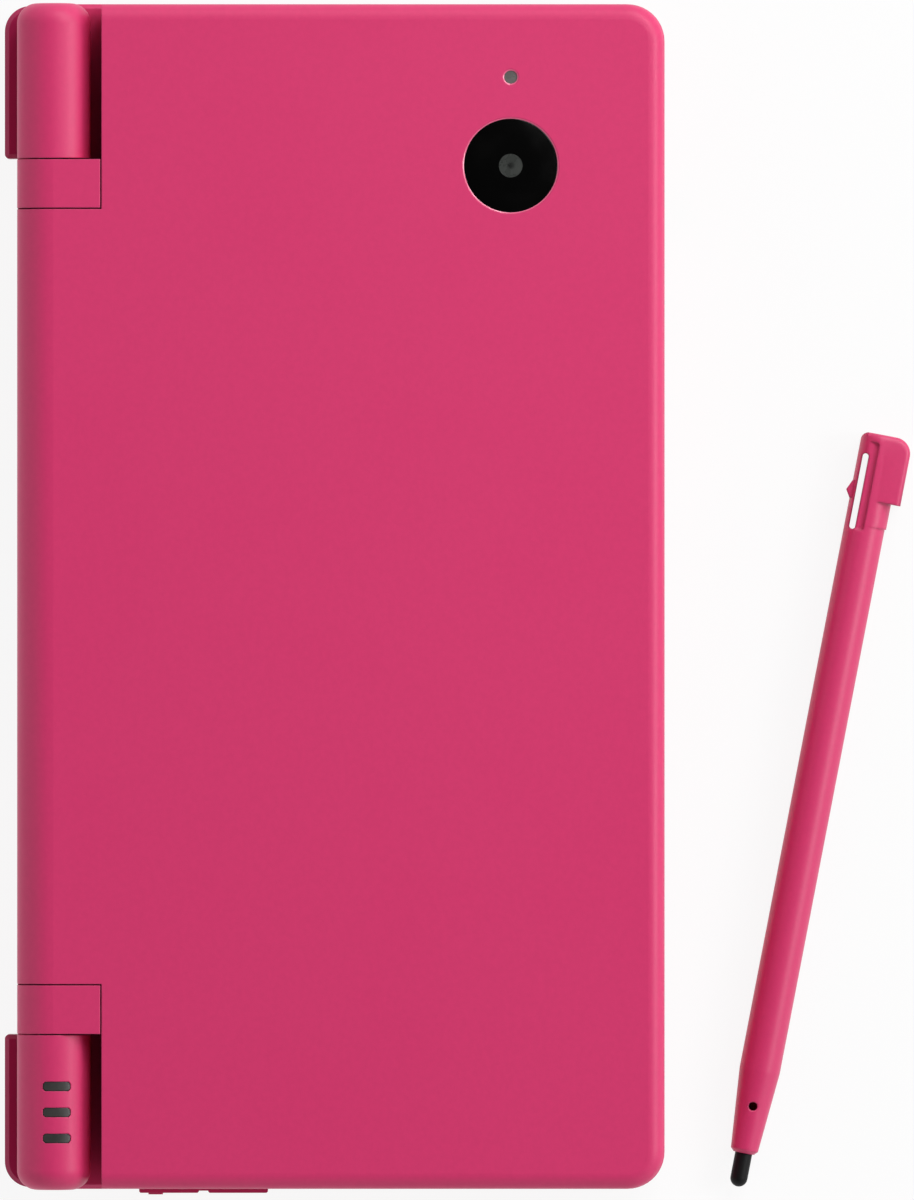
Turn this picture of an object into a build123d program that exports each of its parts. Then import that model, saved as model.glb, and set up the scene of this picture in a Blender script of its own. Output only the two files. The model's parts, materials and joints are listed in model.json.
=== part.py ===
"""Clamshell handheld game console, closed, with its stylus lying in front of it.

Millimetres. +X is the console's right, +Y its hinged rear, +Z up. The origin is the
middle of the base's flat underside.
"""

import os

from build123d import *

# ---- Overall sizes ---------------------------------------------------------------
width = 137.0  # along X, over the side walls
depth = 74.8  # along Y, front edge to hinged rear, without the shoulder buttons
base_height = 10.9
lid_gap = 0.9  # between the closed lid and the base, kept by the rubber bumpers
lid_height = 7.1
corner_radius = 4.3  # in plan
lid_inset = 0.15  # the lid is this much narrower than the base on each side
seam = 0.1  # between fixed pieces that show beside each other
fit = 0.15  # around a button in its hole, or a cover in its opening
layer_gap = 0.1  # between flat pieces stacked inside

# ---- Walls and parting lines -----------------------------------------------------
base_wall = 1.2
lid_wall = 1.3
lid_roof = 1.5
split_height = 7.0  # between the two shells of the base
lid_frame_height = 1.9  # the inner frame's share of the lid's side
lid_floor = 1.1  # the inner frame's plate
base_bottom_radius = 1.8
base_top_bevel = 0.5
lid_top_radius = 1.8
lid_inner_bevel = 0.5

# ---- Hinge -----------------------------------------------------------------------
barrel_radius = 4.25
barrel_length = 17.9  # of each of the base's two barrels
barrel_end_radius = 2.3
saddle_reach = 3.6  # of the barrels' saddles, in front of the hinge's axis
knuckle_length = 5.6  # of each of the lid's two knuckles
hinge_clearance = 0.3  # around the lid's barrel in its cradle
hinge_gap = 1.3  # in front of the base's barrels, to the lid's edge
hinge_seam = 0.15  # beside the knuckles
bore_wall = 1.4  # of the barrels and knuckles around the hinge bore
shaft_radius = 1.7
shaft_head_length = 13.5
shaft_nose_length = 5.2
shaft_fit = 0.05

# ---- Parts inside the base -------------------------------------------------------
board_thickness = 0.8
board_side = 8.0  # from the case's side face to the board
board_front_edge = 2.4  # from the case's front face
board_corner = 1.2
module_width = 18.0  # the radio module under the board
module_depth = 10.0
module_height = 1.6
module_corner = 0.6
module_gap = 1.0  # beside the card slot
view_margin = 23.9  # the console is this much deeper than the window over a screen
view_ratio = 1.324  # the window's width over its depth
view_corner = 1.2
lcd_border = 2.7  # of a display around its window
lower_lcd_thickness = 1.7
panel_thickness = 0.8

# ---- Battery and its cover -------------------------------------------------------
battery_front_edge = 4.6  # from the case's front face to the battery
battery_height = 4.6
battery_corner = 1.0
battery_room = 0.5  # around the battery in its compartment
compartment_wall = 0.8
compartment_height = 6.8
cover_ledge = 1.2  # the cover reaches this far past the compartment
cover_tab = 7.0  # the strip that the cover's screws go through
cover_thickness = 1.1
cover_screw_side = 5.3  # from the cover's side edge

# ---- Buttons on the base's face --------------------------------------------------
button_proud = 0.4
flange_width = 0.8
flange_thickness = 0.8
pad_outward = 1.4  # from halfway between window and side face to the D-pad's middle
pad_rise = 8.4  # the D-pad's middle is this far behind the screen's
action_radius = 3.6
action_spread = 7.0  # from the middle of the four to each button
menu_inward = 5.0  # from the middle of the four buttons, towards the screen
menu_drop = (21.5, 29.0)  # in front of the four buttons' middle
menu_radius = 2.1
power_inward = 2.5  # from the D-pad's middle, towards the screen
power_drop = 28.0  # in front of the D-pad's middle
power_radius = 2.3
crown = 0.35  # bevel of a button's top edge
cross_span = 20.0
cross_arm = 7.0
cross_corner = 0.9
cross_room = 0.4
cross_flange_radius = 11.2
cross_flange_thickness = 0.4
cross_dish_radius = 20.0
cross_dish_depth = 0.25
rock_post_radius = 1.0
dome_height = 0.55
dome_taper = 30  # degrees
mat_thickness = 0.3
mat_margin = 1.3

# ---- Shoulder buttons ------------------------------------------------------------
shoulder_proud = 1.53  # behind the case
shoulder_depth = 5.8  # in front of the case's rear face
shoulder_corner = 3.0
shoulder_inner_corner = 0.5
shoulder_wall = 1.5
shoulder_pocket_depth = 7.4
shoulder_pocket_wall = 1.2
shoulder_floor = 2.3
shoulder_ceiling = 8.7
shoulder_room = 0.25
shoulder_pivot_inset = 2.4  # from the pocket's inner wall
shoulder_pivot_depth = 3.6  # from the case's rear face
shoulder_pin_radius = 0.6
shoulder_boss_radius = 1.4
shoulder_switch_side = 7.0  # from the case's side face
shoulder_switch_width = 4.0
shoulder_switch_height = 2.3
shoulder_switch_depth = 3.4
shoulder_plunger = 2.6
pin_fit = 0.05

# ---- Volume rocker, on the left side ---------------------------------------------
rocker_length = 14.9
rocker_rear_edge = 14.0  # from the case's rear face
rocker_valley = 0.55  # half the width of the low middle
rocker_proud = 0.55
rocker_valley_proud = 0.3
rocker_nub = 0.2
rocker_nub_inset = 1.9  # from the rocker's rear end to its nub
rocker_nub_length = 1.7
rocker_bottom = 3.9
rocker_top = 6.5
rocker_inside = 0.9  # behind the wall's outer face
rocker_pivot_depth = 2.0  # from the side face to the pin
rocker_boss_radius = 1.0
rocker_pin_radius = 0.5
tact_radius = 0.8
tact_body = 2.2
tact_gap = 0.6  # from the rocker at rest to the plungers
tact_plunger = 1.0
tact_spacing = 9.6
volume_board_width = 12.2
volume_board_thickness = 0.7

# ---- Slots, jacks and holders ----------------------------------------------------
stylus_front_edge = 18.4  # from the case's front face to the middle of the holder
stylus_z = 4.1
stylus_bore = 2.5  # radius
sleeve_width = 6.2
sleeve_height = 5.6
sleeve_room = 0.4  # behind the stylus's tip when it is stored
mouth_depth = 7.9
mouth_width = 9.0
mouth_height = 5.7
mouth_wall = 0.4
card_slot_width = 33.4
card_slot_height = 4.5
card_slot_reach = 31.0
slot_wall = 0.35
card_slot_z = 4.05
sd_spacing = 20.0  # from the middle of the stylus holder
sd_z = 5.2
sd_width = 24.4
sd_height = 2.3
sd_reach = 28.0
sd_wall = 0.4
sd_cover_length = 27.0
sd_cover_height = 3.3
sd_cover_thickness = 1.1
sd_pin_radius = 0.3
sd_pin_length = 0.6
jack_side = 23.5  # from the case's side face
jack_z = 4.1
jack_bore = 1.75  # radius
jack_nose = 2.6  # radius
jack_flare = 20  # of the hole around the nose, which opens outwards, in degrees
jack_width = 7.0
jack_height = 5.4
jack_length = 12.0
charge_x = 30.0
charge_z = 3.8
charge_width = 8.0
charge_height = 2.6
charge_body_width = 10.0
charge_body_height = 4.4
charge_body_length = 9.0
charge_tongue_width = 5.6
charge_tongue_height = 0.9
charge_depth = 6.8
strap_x = -31.0
strap_width = 5.0
strap_height = 3.6
strap_depth = 2.6
strap_z = 4.6
strap_bar = 1.3

# ---- Fasteners -------------------------------------------------------------------
screw_radius = 0.8
screw_head_radius = 1.6
screw_head_height = 0.8
screw_socket_radius = 0.6
screw_socket_depth = 0.4
screw_hole = 0.05  # past the screw all round
screw_angle = 90  # of the countersunk heads, in degrees
boss_size = 4.8
case_screw_side = 5.1  # from the case's side face
case_screw_front_edge = 5.8  # from the case's front face
case_screw_rear_edge = 12.6  # from the case's rear face
case_screw_length = 8.6
lid_screw_side = 6.35  # from the lid's side face
lid_screw_front_edge = 6.25
lid_screw_rear_edge = 7.1
lid_screw_length = 4.2
cover_screw_length = 2.6
bumper_radius = 2.0
bumper_proud = 0.8
bumper_sink = 0.25  # in the lid's inner frame

# ---- Parts in the lid ------------------------------------------------------------
upper_lcd_thickness = 2.4
window_thickness = 0.8
camera_side = 18.65  # from the lid's side face
camera_front_edge = 17.65  # from the lid's front face
camera_window_radius = 5.5
camera_window_thickness = 0.9
camera_window_bevel = 0.3
camera_module_size = 8.2
camera_module_height = 2.4
camera_lens_radius = 1.6
camera_lens_height = 0.6
light_side = 8.45  # from the lid's side face
light_radius = 0.85
light_recess = 0.15
speaker_drop = 2.0  # in front of the D-pad's middle
speaker_radius = 6.4
speaker_rim_height = 1.2
speaker_magnet_radius = 4.6
speaker_height = 2.4
grille_slots = 5
grille_slot_length = 6.0
grille_slot_width = 0.7
grille_spacing = 1.6
eye_radius = 1.6
eye_recess = 0.35
eye_thickness = 0.6
eye_module_size = 3.8
eye_module_height = 2.4
mic_x = 9.0
mic_radius = 2.0
mic_height = 1.3
mic_hole = 0.5

# ---- Status lights in the left barrel --------------------------------------------
lamp_side = 9.0  # from the case's side face to the middle light
lamp_spacing = 3.0
lamp_length = 3.1
lamp_width = 1.0
lamp_corner = 0.25
lamp_offset = -0.38  # from the barrel's crown line

# ---- Stylus ----------------------------------------------------------------------
stylus_length = 88.75
stylus_side_edge = 0.1  # its tip lies this far inside the case's left side
stylus_away = 8.5  # and this far in front of the case
stylus_lean = -10.92  # degrees from +X
stylus_radius = 2.365
tip_radius = 1.0
tip_tang = 3.0
tip_tang_radius = 0.7
nose_radius = 1.6
nose_bevel = 0.4
nose_start = 3.95
shaft_start = 13.7
pen_hole_at = 9.5
pen_hole_radius = 0.5
head_half = 2.3  # half the head's thickness
head_length = 10.75  # from the collar to the flat end
collar_shift = 0.16  # of the collar, towards the flange
flange_length = 7.75
flange_rise = 1.235  # past the shaft
flange_corner = 1.9
end_corner = 0.9
arm_wall = 0.58  # beside the slot that frees the arm
arm_slot = 0.72
arm_slot_length = 8.9
arm_slot_end = 2.45  # from the slot to the flat end
arm_width = 1.66  # of the recess, slot and arm together
arm_recess_length = 10.35
arm_recess = 0.3  # below the head's flat face
bump_length = 2.1
bump_end = 5.75  # from the bump to the flat end
bump_apex = 0.9  # from the bump's start
bump_rise = 0.55
bump_half = 1.0  # half the bump's height

# ---- Derived places --------------------------------------------------------------
half_width = width / 2
front_y = -depth / 2
rear_y = depth / 2
lid_z = base_height + lid_gap
top_z = lid_z + lid_height
lid_split_z = lid_z + lid_frame_height
hinge_y = rear_y - barrel_radius
hinge_z = top_z - barrel_radius
barrel_start = half_width - barrel_length
knuckle_end = barrel_start - hinge_seam
knuckle_start = knuckle_end - knuckle_length
roll_half = knuckle_start - hinge_seam
lid_half = half_width - lid_inset
lid_front = front_y + lid_inset
lid_end_y = hinge_y - barrel_radius - hinge_gap
cradle_radius = barrel_radius + hinge_clearance
cradle_z = hinge_z - cradle_radius
hinge_bore = barrel_radius - bore_wall
hinge_axis = Axis((0, hinge_y, hinge_z), (1, 0, 0))
base_roof_z = base_height - base_wall
cavity_rear = hinge_y - cradle_radius - base_wall
pocket_start = barrel_start - fit
pocket_front = rear_y - shoulder_pocket_depth
shoulder_pivot_y = rear_y - shoulder_pivot_depth

# screens and boards
screen_y = (front_y + hinge_y - cradle_radius) / 2
view_depth = depth - view_margin
view_width = view_depth * view_ratio
lcd_width = view_width + 2 * lcd_border
lcd_depth = view_depth + 2 * lcd_border
board_z = split_height
board_top = board_z + board_thickness
board_half_width = half_width - board_side
board_front = front_y + board_front_edge
board_rear = cavity_rear - fit
lcd_z = board_top + layer_gap
panel_z = lcd_z + lower_lcd_thickness + layer_gap

# buttons
pad_x = (view_width / 2 + half_width) / 2 + pad_outward
pad_y = screen_y + pad_rise
menu_x = pad_x - menu_inward
menu_y = [pad_y - drop for drop in menu_drop]
power_x = power_inward - pad_x
power_y = pad_y - power_drop
cap_top = base_height + button_proud
flange_top = base_roof_z - layer_gap
flange_bottom = flange_top - flange_thickness
dome_top = board_top + layer_gap + dome_height
rocker_rear = rear_y - rocker_rear_edge
rocker_front = rocker_rear - rocker_length
rocker_y = (rocker_front + rocker_rear) / 2
rocker_pin_x = -half_width + rocker_pivot_depth

# fasteners
case_screw_x = half_width - case_screw_side
case_screw_front = front_y + case_screw_front_edge
case_screw_rear = rear_y - case_screw_rear_edge
lid_screw_x = lid_half - lid_screw_side
lid_screw_front = lid_front + lid_screw_front_edge
lid_screw_rear = lid_end_y - lid_screw_rear_edge
bumper_top = lid_z + bumper_sink

# stylus, whose head is set out from its flat end
stylus_tip_x = -half_width + stylus_side_edge
stylus_tip_y = front_y - stylus_away
collar_start = stylus_length - head_length
flange_start = stylus_length - flange_length
flange_side = stylus_radius + flange_rise
arm_side = stylus_radius - arm_wall
slot_end = stylus_length - arm_slot_end
slot_start = slot_end - arm_slot_length
bump_from = stylus_length - bump_end - bump_length

# stylus holder, card slots and jacks
stylus_y = front_y + stylus_front_edge
mouth_floor_x = half_width - mouth_depth + mouth_wall
sleeve_reach = flange_start + sleeve_room
sleeve_end_x = mouth_floor_x - sleeve_reach - mouth_wall
sd_y = stylus_y + sd_spacing
sd_slot_x = half_width - base_wall - layer_gap
sd_cover_bottom = sd_z - sd_cover_height / 2
door_pin_x = half_width - sd_cover_thickness / 2
door_pin_y = sd_y + sd_cover_length / 2 - sd_cover_thickness / 2
jack_x = half_width - jack_side
module_x = card_slot_width / 2 + slot_wall + module_gap + module_width / 2
card_slot_end_y = rear_y - card_slot_reach - slot_wall

# battery, between the case's corner posts, the holder's end and the card slot
battery_left = -case_screw_x + boss_size / 2 + battery_room + compartment_wall + battery_room
battery_right = sleeve_end_x - cover_ledge - compartment_wall - battery_room - 2 * fit
battery_front = front_y + battery_front_edge
cover_rear = card_slot_end_y - compartment_wall - 2 * fit
battery_rear = cover_rear - cover_tab - battery_room
battery_width = battery_right - battery_left
battery_depth = battery_rear - battery_front
battery_x = (battery_left + battery_right) / 2
battery_y = (battery_front + battery_rear) / 2
compartment_width = battery_width + 2 * battery_room
compartment_depth = battery_depth + 2 * battery_room
cover_front = battery_front - battery_room - cover_ledge
cover_half = compartment_width / 2 + cover_ledge
cover_y = (cover_front + cover_rear) / 2
cover_depth = cover_rear - cover_front
cover_screw_y = cover_rear - cover_tab / 2

# lid
camera_x = lid_half - camera_side
camera_y = lid_front + camera_front_edge
light_x = lid_half - light_side
speaker_x = pad_x
speaker_y = pad_y - speaker_drop
lamp_x = lamp_side - half_width
eye_z = hinge_z - barrel_radius + eye_recess

case_screw_places = [
    (side * case_screw_x, y) for side in (-1, 1) for y in (case_screw_front, case_screw_rear)
]
lid_screw_places = [
    (side * lid_screw_x, y) for side in (-1, 1) for y in (lid_screw_front, lid_screw_rear)
]
cover_screw_places = [
    (battery_x + side * (cover_half - cover_screw_side), cover_screw_y) for side in (-1, 1)
]
action_places = {
    "a": (pad_x + action_spread, pad_y),
    "b": (pad_x, pad_y - action_spread),
    "x": (pad_x, pad_y + action_spread),
    "y": (pad_x - action_spread, pad_y),
}
lamp_places = [(lamp_x + n * lamp_spacing, hinge_y + lamp_offset) for n in (-1, 0, 1)]

pieces = {}


def plate(x_from, x_to, y_from, y_to):
    """A rectangle between these places, in the sketch that is open."""
    with Locations(((x_from + x_to) / 2, (y_from + y_to) / 2)):
        Rectangle(x_to - x_from, y_to - y_from)


def case_outline(inward):
    """The base's outline in the open sketch, moved in from its outer face."""
    RectangleRounded(width - 2 * inward, depth - 2 * inward, corner_radius - inward)


def lid_outline(inward, rear):
    """The lid's main block in the open sketch: round front corners, square rear ones."""
    plate(-lid_half + inward, lid_half - inward, lid_front + inward, rear)
    fillet(vertices().group_by(Axis.Y)[0], corner_radius - inward)


def shoulder_pocket(inward):
    """The corners that the shoulder buttons fill, as rectangles in the open sketch."""
    for side in (-1, 1):
        inner = side * (pocket_start - inward)
        outer = side * (half_width + base_wall)
        plate(min(inner, outer), max(inner, outer), pocket_front - inward, rear_y + base_wall)


def screw_holes(places, face_z, depth_in):
    """Countersunk holes upwards from a face, in the part that is open."""
    with Locations(*[Location((x, y, face_z), (180, 0, 0)) for x, y in places]):
        CounterSinkHole(
            screw_radius + screw_hole, screw_head_radius + seam + screw_hole, depth_in, screw_angle
        )


# ---- Lower case: a tray with the battery's compartment opening downwards ----------
with BuildPart() as base_lower_case:
    with BuildSketch():
        case_outline(0)
    extrude(amount=split_height)
    fillet(faces().sort_by(Axis.Z)[0].edges(), base_bottom_radius)
    with BuildSketch(Plane.XY.offset(base_wall)):
        case_outline(base_wall)
        with BuildSketch(mode=Mode.SUBTRACT):
            shoulder_pocket(shoulder_pocket_wall)
    extrude(amount=split_height, mode=Mode.SUBTRACT)
    # pockets of the shoulder buttons, open to the rear and the side
    with BuildSketch(Plane.XY.offset(shoulder_floor)):
        shoulder_pocket(0)
    extrude(amount=split_height, mode=Mode.SUBTRACT)
    # battery compartment, with a rim round its cover and a floor for the cover's screws
    with BuildSketch(Plane.XY.offset(base_wall / 2)):
        with Locations((battery_x, cover_y)):
            Rectangle(
                2 * (cover_half + fit + compartment_wall), cover_depth + 2 * (fit + compartment_wall)
            )
    extrude(amount=base_wall / 2 + compartment_wall)
    with BuildSketch(Plane.XY.offset(base_wall)):
        with Locations((battery_x, battery_y)):
            Rectangle(
                compartment_width + 2 * compartment_wall, compartment_depth + 2 * compartment_wall
            )
    extrude(amount=compartment_height - base_wall)
    with BuildSketch(Plane.XY.offset(base_wall)):
        plate(
            battery_x - cover_half, battery_x + cover_half,
            cover_rear - cover_tab, cover_rear + compartment_wall,
        )
    extrude(amount=cover_screw_length - base_wall + compartment_wall)
    with BuildSketch():
        with Locations((battery_x, cover_y)):
            RectangleRounded(2 * cover_half + 2 * fit, cover_depth + 2 * fit, cover_ledge)
    extrude(amount=cover_thickness + layer_gap, mode=Mode.SUBTRACT)
    with BuildSketch():
        with Locations((battery_x, battery_y)):
            Rectangle(compartment_width, compartment_depth)
    extrude(amount=compartment_height - compartment_wall, mode=Mode.SUBTRACT)
    with BuildSketch(Plane.XY.offset(cover_thickness)):
        with Locations(*cover_screw_places):
            Circle(screw_radius + screw_hole)
    extrude(amount=cover_screw_length - cover_thickness + seam, mode=Mode.SUBTRACT)
    # screw posts in the corners, countersunk from below
    with BuildSketch(Plane.XY.offset(base_wall)):
        with Locations(*case_screw_places):
            Rectangle(boss_size, boss_size)
    extrude(amount=split_height - base_wall - layer_gap)
    screw_holes(case_screw_places, 0, split_height)
    # openings in the rear wall: game card slot and charging port
    with BuildSketch(Plane.XZ.offset(-rear_y)):
        with Locations((0, card_slot_z)):
            Rectangle(card_slot_width + 2 * slot_wall + fit, card_slot_height + 2 * slot_wall + fit)
        with Locations((charge_x, charge_z)):
            Rectangle(charge_body_width + fit, charge_body_height + fit)
    extrude(amount=2 * base_wall, mode=Mode.SUBTRACT)
    # headphone hole in the front wall
    with BuildSketch(Plane.XZ.offset(-front_y - base_wall)):
        with Locations((jack_x, jack_z)):
            Circle(jack_nose + seam)
    extrude(amount=base_wall, taper=-jack_flare, mode=Mode.SUBTRACT)
    # openings in the right wall: stylus mouth and SD card door
    with BuildSketch(Plane.YZ.offset(half_width)):
        with Locations((stylus_y, stylus_z)):
            Rectangle(mouth_width + fit, mouth_height + fit)
        plate(
            sd_y - sd_cover_length / 2 - fit, sd_y + sd_cover_length / 2 + fit,
            sd_cover_bottom - fit, split_height,
        )
    extrude(amount=-2 * base_wall, mode=Mode.SUBTRACT)
    with Locations((door_pin_x, door_pin_y, sd_cover_bottom - fit)):
        Cylinder(sd_pin_radius + pin_fit, 2 * sd_pin_length, mode=Mode.SUBTRACT)
    # opening in the left wall: volume rocker, and the post that carries its pin
    with BuildSketch(Plane.YZ.offset(-half_width)):
        plate(
            rocker_front - fit, rocker_rear + fit, rocker_bottom - fit, rocker_top + fit,
        )
    extrude(amount=2 * base_wall, mode=Mode.SUBTRACT)
    with BuildSketch(Plane.XY.offset(base_wall)):
        with Locations((rocker_pin_x, rocker_y)):
            Circle(rocker_boss_radius)
    extrude(amount=rocker_bottom - base_wall - fit)
    with BuildSketch(Plane.XY.offset(base_wall)):
        with Locations((rocker_pin_x, rocker_y)):
            Circle(rocker_pin_radius)
    extrude(amount=split_height - base_wall - layer_gap, mode=Mode.SUBTRACT)
    # strap loop: a slot in the rear wall with a bar across it
    with BuildSketch(Plane.XZ.offset(-rear_y)):
        with Locations((strap_x, strap_z)):
            Rectangle(strap_width, strap_height)
    extrude(amount=strap_depth, mode=Mode.SUBTRACT)
    with BuildSketch(Plane.XY.offset(strap_z - strap_height / 2)):
        with Locations((strap_x, rear_y - strap_bar / 2)):
            Rectangle(strap_bar, strap_bar)
    extrude(amount=strap_height)
pieces["base_lower_case"] = base_lower_case.part

# ---- Upper case: the face of the base and its two hinge barrels --------------------
with BuildPart() as base_upper_case:
    with BuildSketch(Plane.XY.offset(split_height)):
        case_outline(0)
    extrude(amount=base_height - split_height)
    chamfer(faces().sort_by(Axis.Z)[-1].edges(), base_top_bevel)
    # cradle for the lid's barrel, open to the rear
    with BuildSketch(Plane.YZ.offset(-barrel_start)):
        with Locations((hinge_y, hinge_z)):
            Circle(cradle_radius)
        plate(hinge_y, rear_y + base_wall, cradle_z, top_z)
    extrude(amount=2 * barrel_start, mode=Mode.SUBTRACT)
    # inside of the shell, lower under the cradle
    with BuildSketch(Plane.XY.offset(split_height)):
        plate(
            -half_width + base_wall, half_width - base_wall,
            front_y + base_wall, cavity_rear,
        )
        fillet(vertices().group_by(Axis.Y)[0], corner_radius - base_wall)
    extrude(amount=base_roof_z - split_height, mode=Mode.SUBTRACT)
    with BuildSketch(Plane.XY.offset(split_height)):
        plate(
            -pocket_start + shoulder_pocket_wall, pocket_start - shoulder_pocket_wall,
            cavity_rear - base_wall, rear_y - base_wall,
        )
    extrude(amount=cradle_z - base_wall - split_height, mode=Mode.SUBTRACT)
    # barrels with round outer ends, turned about the hinge's axis, on saddles
    for side in (-1, 1):
        with BuildSketch(Plane.XY.offset(cradle_z)):
            ends = sorted((side * barrel_start, side * (half_width - seam)))
            plate(ends[0], ends[1], hinge_y - saddle_reach, rear_y - seam)
            fillet(vertices().sort_by(Axis.X)[-2:] if side > 0 else vertices().sort_by(Axis.X)[:2],
                   barrel_end_radius)
        extrude(amount=hinge_z - cradle_z)
        with BuildSketch(Plane.XY.offset(hinge_z)):
            ends = sorted((side * barrel_start, side * half_width))
            plate(ends[0], ends[1], hinge_y, rear_y)
            rear_corners = vertices().group_by(Axis.Y)[-1].sort_by(Axis.X)
            fillet(rear_corners[-1] if side > 0 else rear_corners[0], barrel_end_radius)
        revolve(axis=hinge_axis)
    # pockets of the shoulder buttons
    with BuildSketch(Plane.XY.offset(split_height)):
        shoulder_pocket(0)
    extrude(amount=shoulder_ceiling - split_height, mode=Mode.SUBTRACT)
    # hinge bores, from the inner faces of the barrels
    for side in (-1, 1):
        with BuildSketch(Plane.YZ.offset(side * barrel_start)):
            with Locations((hinge_y, hinge_z)):
                Circle(hinge_bore)
        extrude(amount=side * (shaft_head_length + layer_gap), mode=Mode.SUBTRACT)
    # window and button holes
    with BuildSketch(Plane.XY.offset(split_height)):
        with Locations((0, screen_y)):
            RectangleRounded(view_width, view_depth, view_corner)
        with Locations(*action_places.values()):
            Circle(action_radius + fit)
        with Locations(*[(menu_x, y) for y in menu_y]):
            Circle(menu_radius + fit)
        with Locations((power_x, power_y)):
            Circle(power_radius + fit)
        with Locations((-pad_x, pad_y)):
            Rectangle(cross_span + 2 * cross_room, cross_arm + 2 * cross_room)
            Rectangle(cross_arm + 2 * cross_room, cross_span + 2 * cross_room)
    extrude(amount=base_height, mode=Mode.SUBTRACT)
    # screw posts over those of the lower case
    with BuildSketch(Plane.XY.offset(split_height)):
        with Locations(*case_screw_places):
            Rectangle(boss_size, boss_size)
            Circle(screw_radius + screw_hole, mode=Mode.SUBTRACT)
    extrude(amount=base_roof_z - split_height)
    # windows of the status lights in the left barrel's crown
    with BuildSketch(Plane.XY.offset(hinge_z)):
        with Locations(*lamp_places):
            Rectangle(lamp_width + seam, lamp_length + seam)
        chamfer(vertices(), lamp_corner)
    extrude(amount=barrel_radius, mode=Mode.SUBTRACT)
pieces["base_upper_case"] = base_upper_case.part

# ---- Status lights: three lenses flush with the barrel -----------------------------
with BuildPart() as status_light_lenses:
    with BuildSketch(Plane.XY.offset(hinge_z)):
        with Locations(*lamp_places):
            Rectangle(lamp_width, lamp_length)
        chamfer(vertices(), lamp_corner)
    extrude(amount=barrel_radius)
    with BuildSketch(Plane.YZ.offset(-half_width)):
        with Locations((hinge_y, hinge_z)):
            Circle(barrel_radius - seam / 2)
            Circle(hinge_bore + seam / 2, mode=Mode.SUBTRACT)
    extrude(amount=barrel_length, mode=Mode.INTERSECT)
pieces["status_light_lenses"] = status_light_lenses.part


# ---- Hinge: a stepped shaft in each barrel, a clutch sleeve in each knuckle --------
with BuildPart() as hinge_shafts:
    for side in (-1, 1):
        with BuildSketch(Plane.YZ.offset(side * (barrel_start + layer_gap))):
            with Locations((hinge_y, hinge_z)):
                Circle(hinge_bore - shaft_fit)
        extrude(amount=side * (shaft_head_length - layer_gap))
        with BuildSketch(Plane.YZ.offset(side * (barrel_start + layer_gap))):
            with Locations((hinge_y, hinge_z)):
                Circle(shaft_radius)
        extrude(amount=-side * (shaft_nose_length + layer_gap))
pieces["hinge_shafts"] = hinge_shafts.part

with BuildPart() as hinge_clutches:
    for side in (-1, 1):
        with BuildSketch(Plane.YZ.offset(side * knuckle_start)):
            with Locations((hinge_y, hinge_z)):
                Circle(hinge_bore - shaft_fit)
                Circle(shaft_radius + shaft_fit, mode=Mode.SUBTRACT)
        extrude(amount=side * knuckle_length)
pieces["hinge_clutches"] = hinge_clutches.part

# ---- Battery, its cover and the cover's screws -------------------------------------
with BuildPart() as battery_pack:
    with BuildSketch(Plane.XY.offset(cover_thickness + 2 * layer_gap)):
        with Locations((battery_x, battery_y)):
            Rectangle(battery_width, battery_depth)
        chamfer(vertices(), battery_corner)
    extrude(amount=battery_height)
pieces["battery_pack"] = battery_pack.part

with BuildPart() as battery_cover:
    with BuildSketch():
        with Locations((battery_x, cover_y)):
            RectangleRounded(2 * cover_half, cover_depth, cover_ledge)
    extrude(amount=cover_thickness)
    chamfer(faces().sort_by(Axis.Z)[0].edges(), seam)
    screw_holes(cover_screw_places, 0, cover_thickness)
pieces["battery_cover"] = battery_cover.part


def screws(places, head_z, length):
    """Countersunk screws with a hexagon socket, heads below their shanks."""
    with BuildPart() as group:
        with Locations(*[(x, y, head_z) for x, y in places]):
            Cone(
                screw_head_radius, screw_radius, screw_head_height,
                align=(Align.CENTER, Align.CENTER, Align.MIN),
            )
        with BuildSketch(Plane.XY.offset(head_z + screw_head_height)):
            with Locations(*places):
                Circle(screw_radius)
        extrude(amount=length - screw_head_height)
        with BuildSketch(Plane.XY.offset(head_z)):
            with Locations(*places):
                RegularPolygon(screw_socket_radius, 6)
        extrude(amount=screw_socket_depth, mode=Mode.SUBTRACT)
    return group.part


pieces["battery_cover_screws"] = screws(cover_screw_places, seam, cover_screw_length)
pieces["case_screws"] = screws(case_screw_places, seam, case_screw_length)
pieces["lid_screws"] = screws(lid_screw_places, bumper_top + layer_gap, lid_screw_length)

# ---- Electronics of the base -------------------------------------------------------
with BuildPart() as main_board:
    with BuildSketch(Plane.XY.offset(board_z)):
        plate(-board_half_width, board_half_width, board_front, board_rear)
        chamfer(vertices(), board_corner)
    extrude(amount=board_thickness)
pieces["main_board"] = main_board.part

with BuildPart() as wireless_module:
    with BuildSketch(Plane.XY.offset(board_z - layer_gap)):
        with Locations((module_x, board_rear - module_depth / 2 - board_corner)):
            Rectangle(module_width, module_depth)
        chamfer(vertices(), module_corner)
    extrude(amount=-module_height)
pieces["wireless_module"] = wireless_module.part

with BuildPart() as game_card_slot:
    with BuildSketch(Plane.XZ.offset(-rear_y)):
        with Locations((0, card_slot_z)):
            Rectangle(card_slot_width + 2 * slot_wall, card_slot_height + 2 * slot_wall)
    extrude(amount=card_slot_reach + slot_wall)
    with BuildSketch(Plane.XZ.offset(-rear_y)):
        with Locations((0, card_slot_z)):
            Rectangle(card_slot_width, card_slot_height)
    extrude(amount=card_slot_reach, mode=Mode.SUBTRACT)
pieces["game_card_slot"] = game_card_slot.part

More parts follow.
